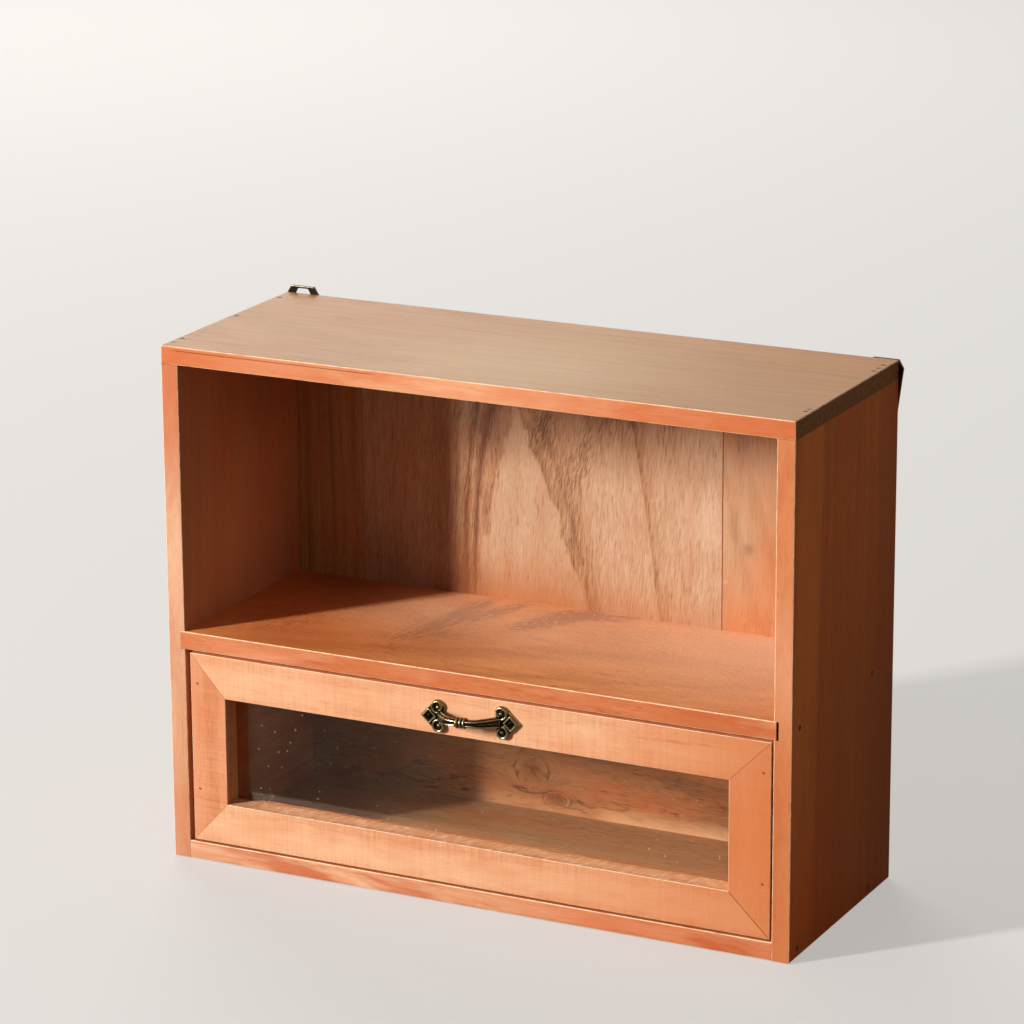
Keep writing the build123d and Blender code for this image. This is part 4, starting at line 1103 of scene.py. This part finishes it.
# %% [markdown]
# ## Nails and screws
# The boards are held with thin brads, driven just below the surface. They repeat, so Geometry Nodes make them: a
# cloud of points says where each one goes and a vector says which way it was driven. One tree makes the nail, sets
# it on each point and turns it.
# %% A tree that sets a shape on points


def node_tree(name, sizes):
    """A new tree with a named input for each size, and its input node."""
    tree = bpy.data.node_groups.new(name, "GeometryNodeTree")
    tree.interface.new_socket("Geometry", in_out="INPUT", socket_type="NodeSocketGeometry")
    tree.interface.new_socket("Geometry", in_out="OUTPUT", socket_type="NodeSocketGeometry")
    for size in sizes:
        tree.interface.new_socket(size, in_out="INPUT", socket_type="NodeSocketFloat")
    return tree, add(tree, "NodeGroupInput").node


def set_on_points(tree, start, shape, finish, seed):
    """Sets a shape on every point, its +Z along 'aim', with its own spin, and ends the tree."""
    aim = add(tree, "GeometryNodeInputNamedAttribute", {"Name": "aim"}, data_type="FLOAT_VECTOR")
    turned = add(tree, "FunctionNodeAlignRotationToVector", {"Vector": aim}, axis="Z")
    placed = add(tree, "GeometryNodeInstanceOnPoints",
                 {"Points": start.outputs[0], "Instance": shape, "Rotation": turned})
    spin = add(tree, "FunctionNodeRandomValue", {2: 0.0, 3: math.tau, "Seed": seed}, out=1)
    spun = add(tree, "GeometryNodeRotateInstances", {"Instances": placed, "Rotation": add(tree, JOIN, {2: spin})})
    real = add(tree, "GeometryNodeRealizeInstances", {0: spun})
    painted = add(tree, "GeometryNodeSetMaterial", {0: real, "Material": finish})
    tree.links.new(painted, add(tree, "NodeGroupOutput", out=None).inputs[0])


print("tree helpers ready")

# %% The nail
nail_tree, start = node_tree("driven_nail", ("Radius", "Length", "Sunk"))
radius, length, sunk = (start.outputs[name] for name in ("Radius", "Length", "Sunk"))
long = add(nail_tree, MATH, {0: length, 1: sunk}, operation="SUBTRACT")
shank = add(nail_tree, "GeometryNodeMeshCylinder", {"Vertices": 16, "Radius": radius, "Depth": long})
middle = add(nail_tree, MATH, {0: length, 1: 0.5, 2: sunk}, operation="MULTIPLY_ADD")
middle = add(nail_tree, JOIN, {2: middle})
shank = add(nail_tree, "GeometryNodeTransform", {"Geometry": shank, "Translation": middle})
crown = add(nail_tree, "GeometryNodeMeshUVSphere", {"Segments": 16, "Rings": 8, "Radius": radius})
crown = add(nail_tree, "GeometryNodeTransform", {"Geometry": crown, "Scale": (0.97, 0.97, 0.25),
                                                 "Translation": add(nail_tree, JOIN, {2: sunk})})
nail = add(nail_tree, "GeometryNodeJoinGeometry", {0: shank})
nail_tree.links.new(crown, nail.node.inputs[0])
set_on_points(nail_tree, start, nail, nail_steel, seed=3)
print("nail tree has", len(nail_tree.nodes), "nodes")

# %% Driving them


def driven(name, spots, tree, sizes, body, stands_for, finish=None):
    """Runs a tree on (place, way it was driven), and keeps the result as one plain mesh on one body."""
    mesh = bpy.data.meshes.new(name)
    mesh.from_pydata([[c * MM for c in at] for at, _ in spots], [], [])
    aim = mesh.attributes.new("aim", "FLOAT_VECTOR", "POINT")
    aim.data.foreach_set("vector", [c for _, way in spots for c in way])
    cloud = bpy.data.objects.new(name, mesh)
    maker = cloud.modifiers.new("maker", "NODES")
    maker.node_group = tree
    for socket in tree.interface.items_tree:
        if socket.in_out == "INPUT" and socket.name in sizes:
            maker[socket.identifier] = sizes[socket.name] * MM
    made = bpy.data.objects.new(name, plain_mesh(cloud))
    bpy.context.scene.collection.objects.link(made)
    if finish:
        finish_with(made, finish)
    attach(made, body)
    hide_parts(*stands_for)
    print(name, "has", len(made.data.polygons), "faces for", len(spots))


print("ready to drive nails")

# %% Nails of the cabinet
LEFTWARD, RIGHTWARD, INWARD, FORWARD, DOWN, UP = (-1, 0, 0), (1, 0, 0), (0, 1, 0), (0, -1, 0), (0, 0, -1), (0, 0, 1)
BRAD = {"Radius": 0.82, "Length": 24.0, "Sunk": 0.3}
SEAM_LEFT, SEAM_RIGHT, FROM_SEAM = -143.5, 96.0, 22
BACK_Y, SHELF_Z, BACK_EDGE = 75.0, 136.5, 191.75
cabinet_spots = [(spot, DOWN) for spot in TOP_NAILS]
cabinet_spots += [(spot, RIGHTWARD) for spot in SIDE_NAILS[0]] + [(spot, LEFTWARD) for spot in SIDE_NAILS[1]]
cabinet_spots += [((side * BACK_EDGE, BACK_Y, z), FORWARD) for side in (-1, 1) for z in (24.0, 88.0, 214.0)]
cabinet_spots += [((seam + off, BACK_Y, SHELF_Z), FORWARD)
                  for seam in (SEAM_LEFT, SEAM_RIGHT) for off in (-FROM_SEAM, FROM_SEAM)]
driven("cabinet_nails", cabinet_spots, nail_tree, BRAD, "cabinet",
       ("top_nails", "shelf_nails", "bottom_nails", "back_nails"))

# %% Nails and pins of the drawer
LEFT_WALL, RIGHT_WALL, BOX_BACK = -181.2, 183.3, 59.0      # the middles of the drawer's sides and back
front_spots = [((x, FRONT_Y, z), INWARD) for x in (LEFT_WALL, RIGHT_WALL) for z in (45.0, 111.0)]
driven("drawer_front_nails", front_spots, nail_tree, dict(BRAD, Length=32.0), "drawer", ("front_nails",),
       coppered_steel)
box_spots = [((x, BOX_BACK, z), way) for x, way in ((-185.7, RIGHTWARD), (187.8, LEFTWARD)) for z in (34.3, 104.4)]
driven("drawer_corner_nails", box_spots, nail_tree, dict(BRAD, Length=20.0), "drawer", ("drawer_box_nails",))
pin_spots = [((x, y, 11.3), UP) for x in (LEFT_WALL, RIGHT_WALL) for y in (-43.0, 33.0)]
pin_spots += [((x, BOX_BACK, 11.3), UP) for x in (-102.7, 104.8)]
driven("drawer_base_pins", pin_spots, nail_tree, {"Radius": 0.48, "Length": 12.0, "Sunk": 0.12}, "drawer",
       ("drawer_bottom_pins",))

# %% [markdown]
# The screws have a domed head with a cross cut out of it, each turned differently. The exact solver does the
# cutting, because the faster one leaves open seams along the cross.
# %% The screw
screw_tree, start = node_tree("domed_screw", ("Shank", "Head", "Length"))
shank_r, head_r, length = (start.outputs[name] for name in ("Shank", "Head", "Length"))
dome = add(screw_tree, "GeometryNodeMeshUVSphere", {"Segments": 28, "Rings": 16, "Radius": head_r})
dome = add(screw_tree, "GeometryNodeTransform", {"Geometry": dome, "Scale": (1.0, 1.0, 0.5)})
arm, narrow, deep, lift, neck = (add(screw_tree, MATH, {0: head_r, 1: share}, operation="MULTIPLY")
                                 for share in (1.25, 0.26, 0.55, -0.5, 0.3))
lift = add(screw_tree, JOIN, {2: lift})
cross = [add(screw_tree, "GeometryNodeMeshCube", {"Size": add(screw_tree, JOIN, size)})
         for size in ({0: arm, 1: narrow, 2: deep}, {0: narrow, 1: arm, 2: deep})]
cross = [add(screw_tree, "GeometryNodeTransform", {"Geometry": bar, "Translation": lift}) for bar in cross]
cut = add(screw_tree, "GeometryNodeMeshBoolean", {0: dome, 1: cross[0]}, operation="DIFFERENCE", solver="EXACT")
screw_tree.links.new(cross[1], cut.node.inputs[1])
middle = add(screw_tree, MATH, {0: length, 1: 0.5, 2: neck}, operation="MULTIPLY_ADD")
shank = add(screw_tree, "GeometryNodeMeshCylinder", {"Vertices": 16, "Radius": shank_r, "Depth": length})
shank = add(screw_tree, "GeometryNodeTransform", {"Geometry": shank, "Translation": add(screw_tree, JOIN, {2: middle})})
screw = add(screw_tree, "GeometryNodeJoinGeometry", {0: cut})
screw_tree.links.new(shank, screw.node.inputs[0])
set_on_points(screw_tree, start, screw, antique_bronze, seed=11)
print("screw tree has", len(screw_tree.nodes), "nodes")

# %% Screws of the plates and of the pull
plate_screws = [((x, 76.5, z - down), FORWARD) for x, z in PLATE_SPOTS.values() for down in PLATE_SCREWS]
driven("plate_screws", plate_screws, screw_tree, {"Shank": 1.3, "Head": 2.7, "Length": 9.0}, "cabinet",
       ("hanging_plate_screws",))
reach = [Matrix.Rotation(-PULL_TILT, 3, "Y") @ Vector((side * BOSS_X, -PLATE, 0)) for side in (-1, 1)]
pull_screws = [(tuple(Vector(PULL_MIDDLE) + at), INWARD) for at in reach]
driven("pull_screws", pull_screws, screw_tree, {"Shank": 0.95, "Head": 1.7, "Length": 10.0}, "drawer",
       ("pull_handle_screws",))
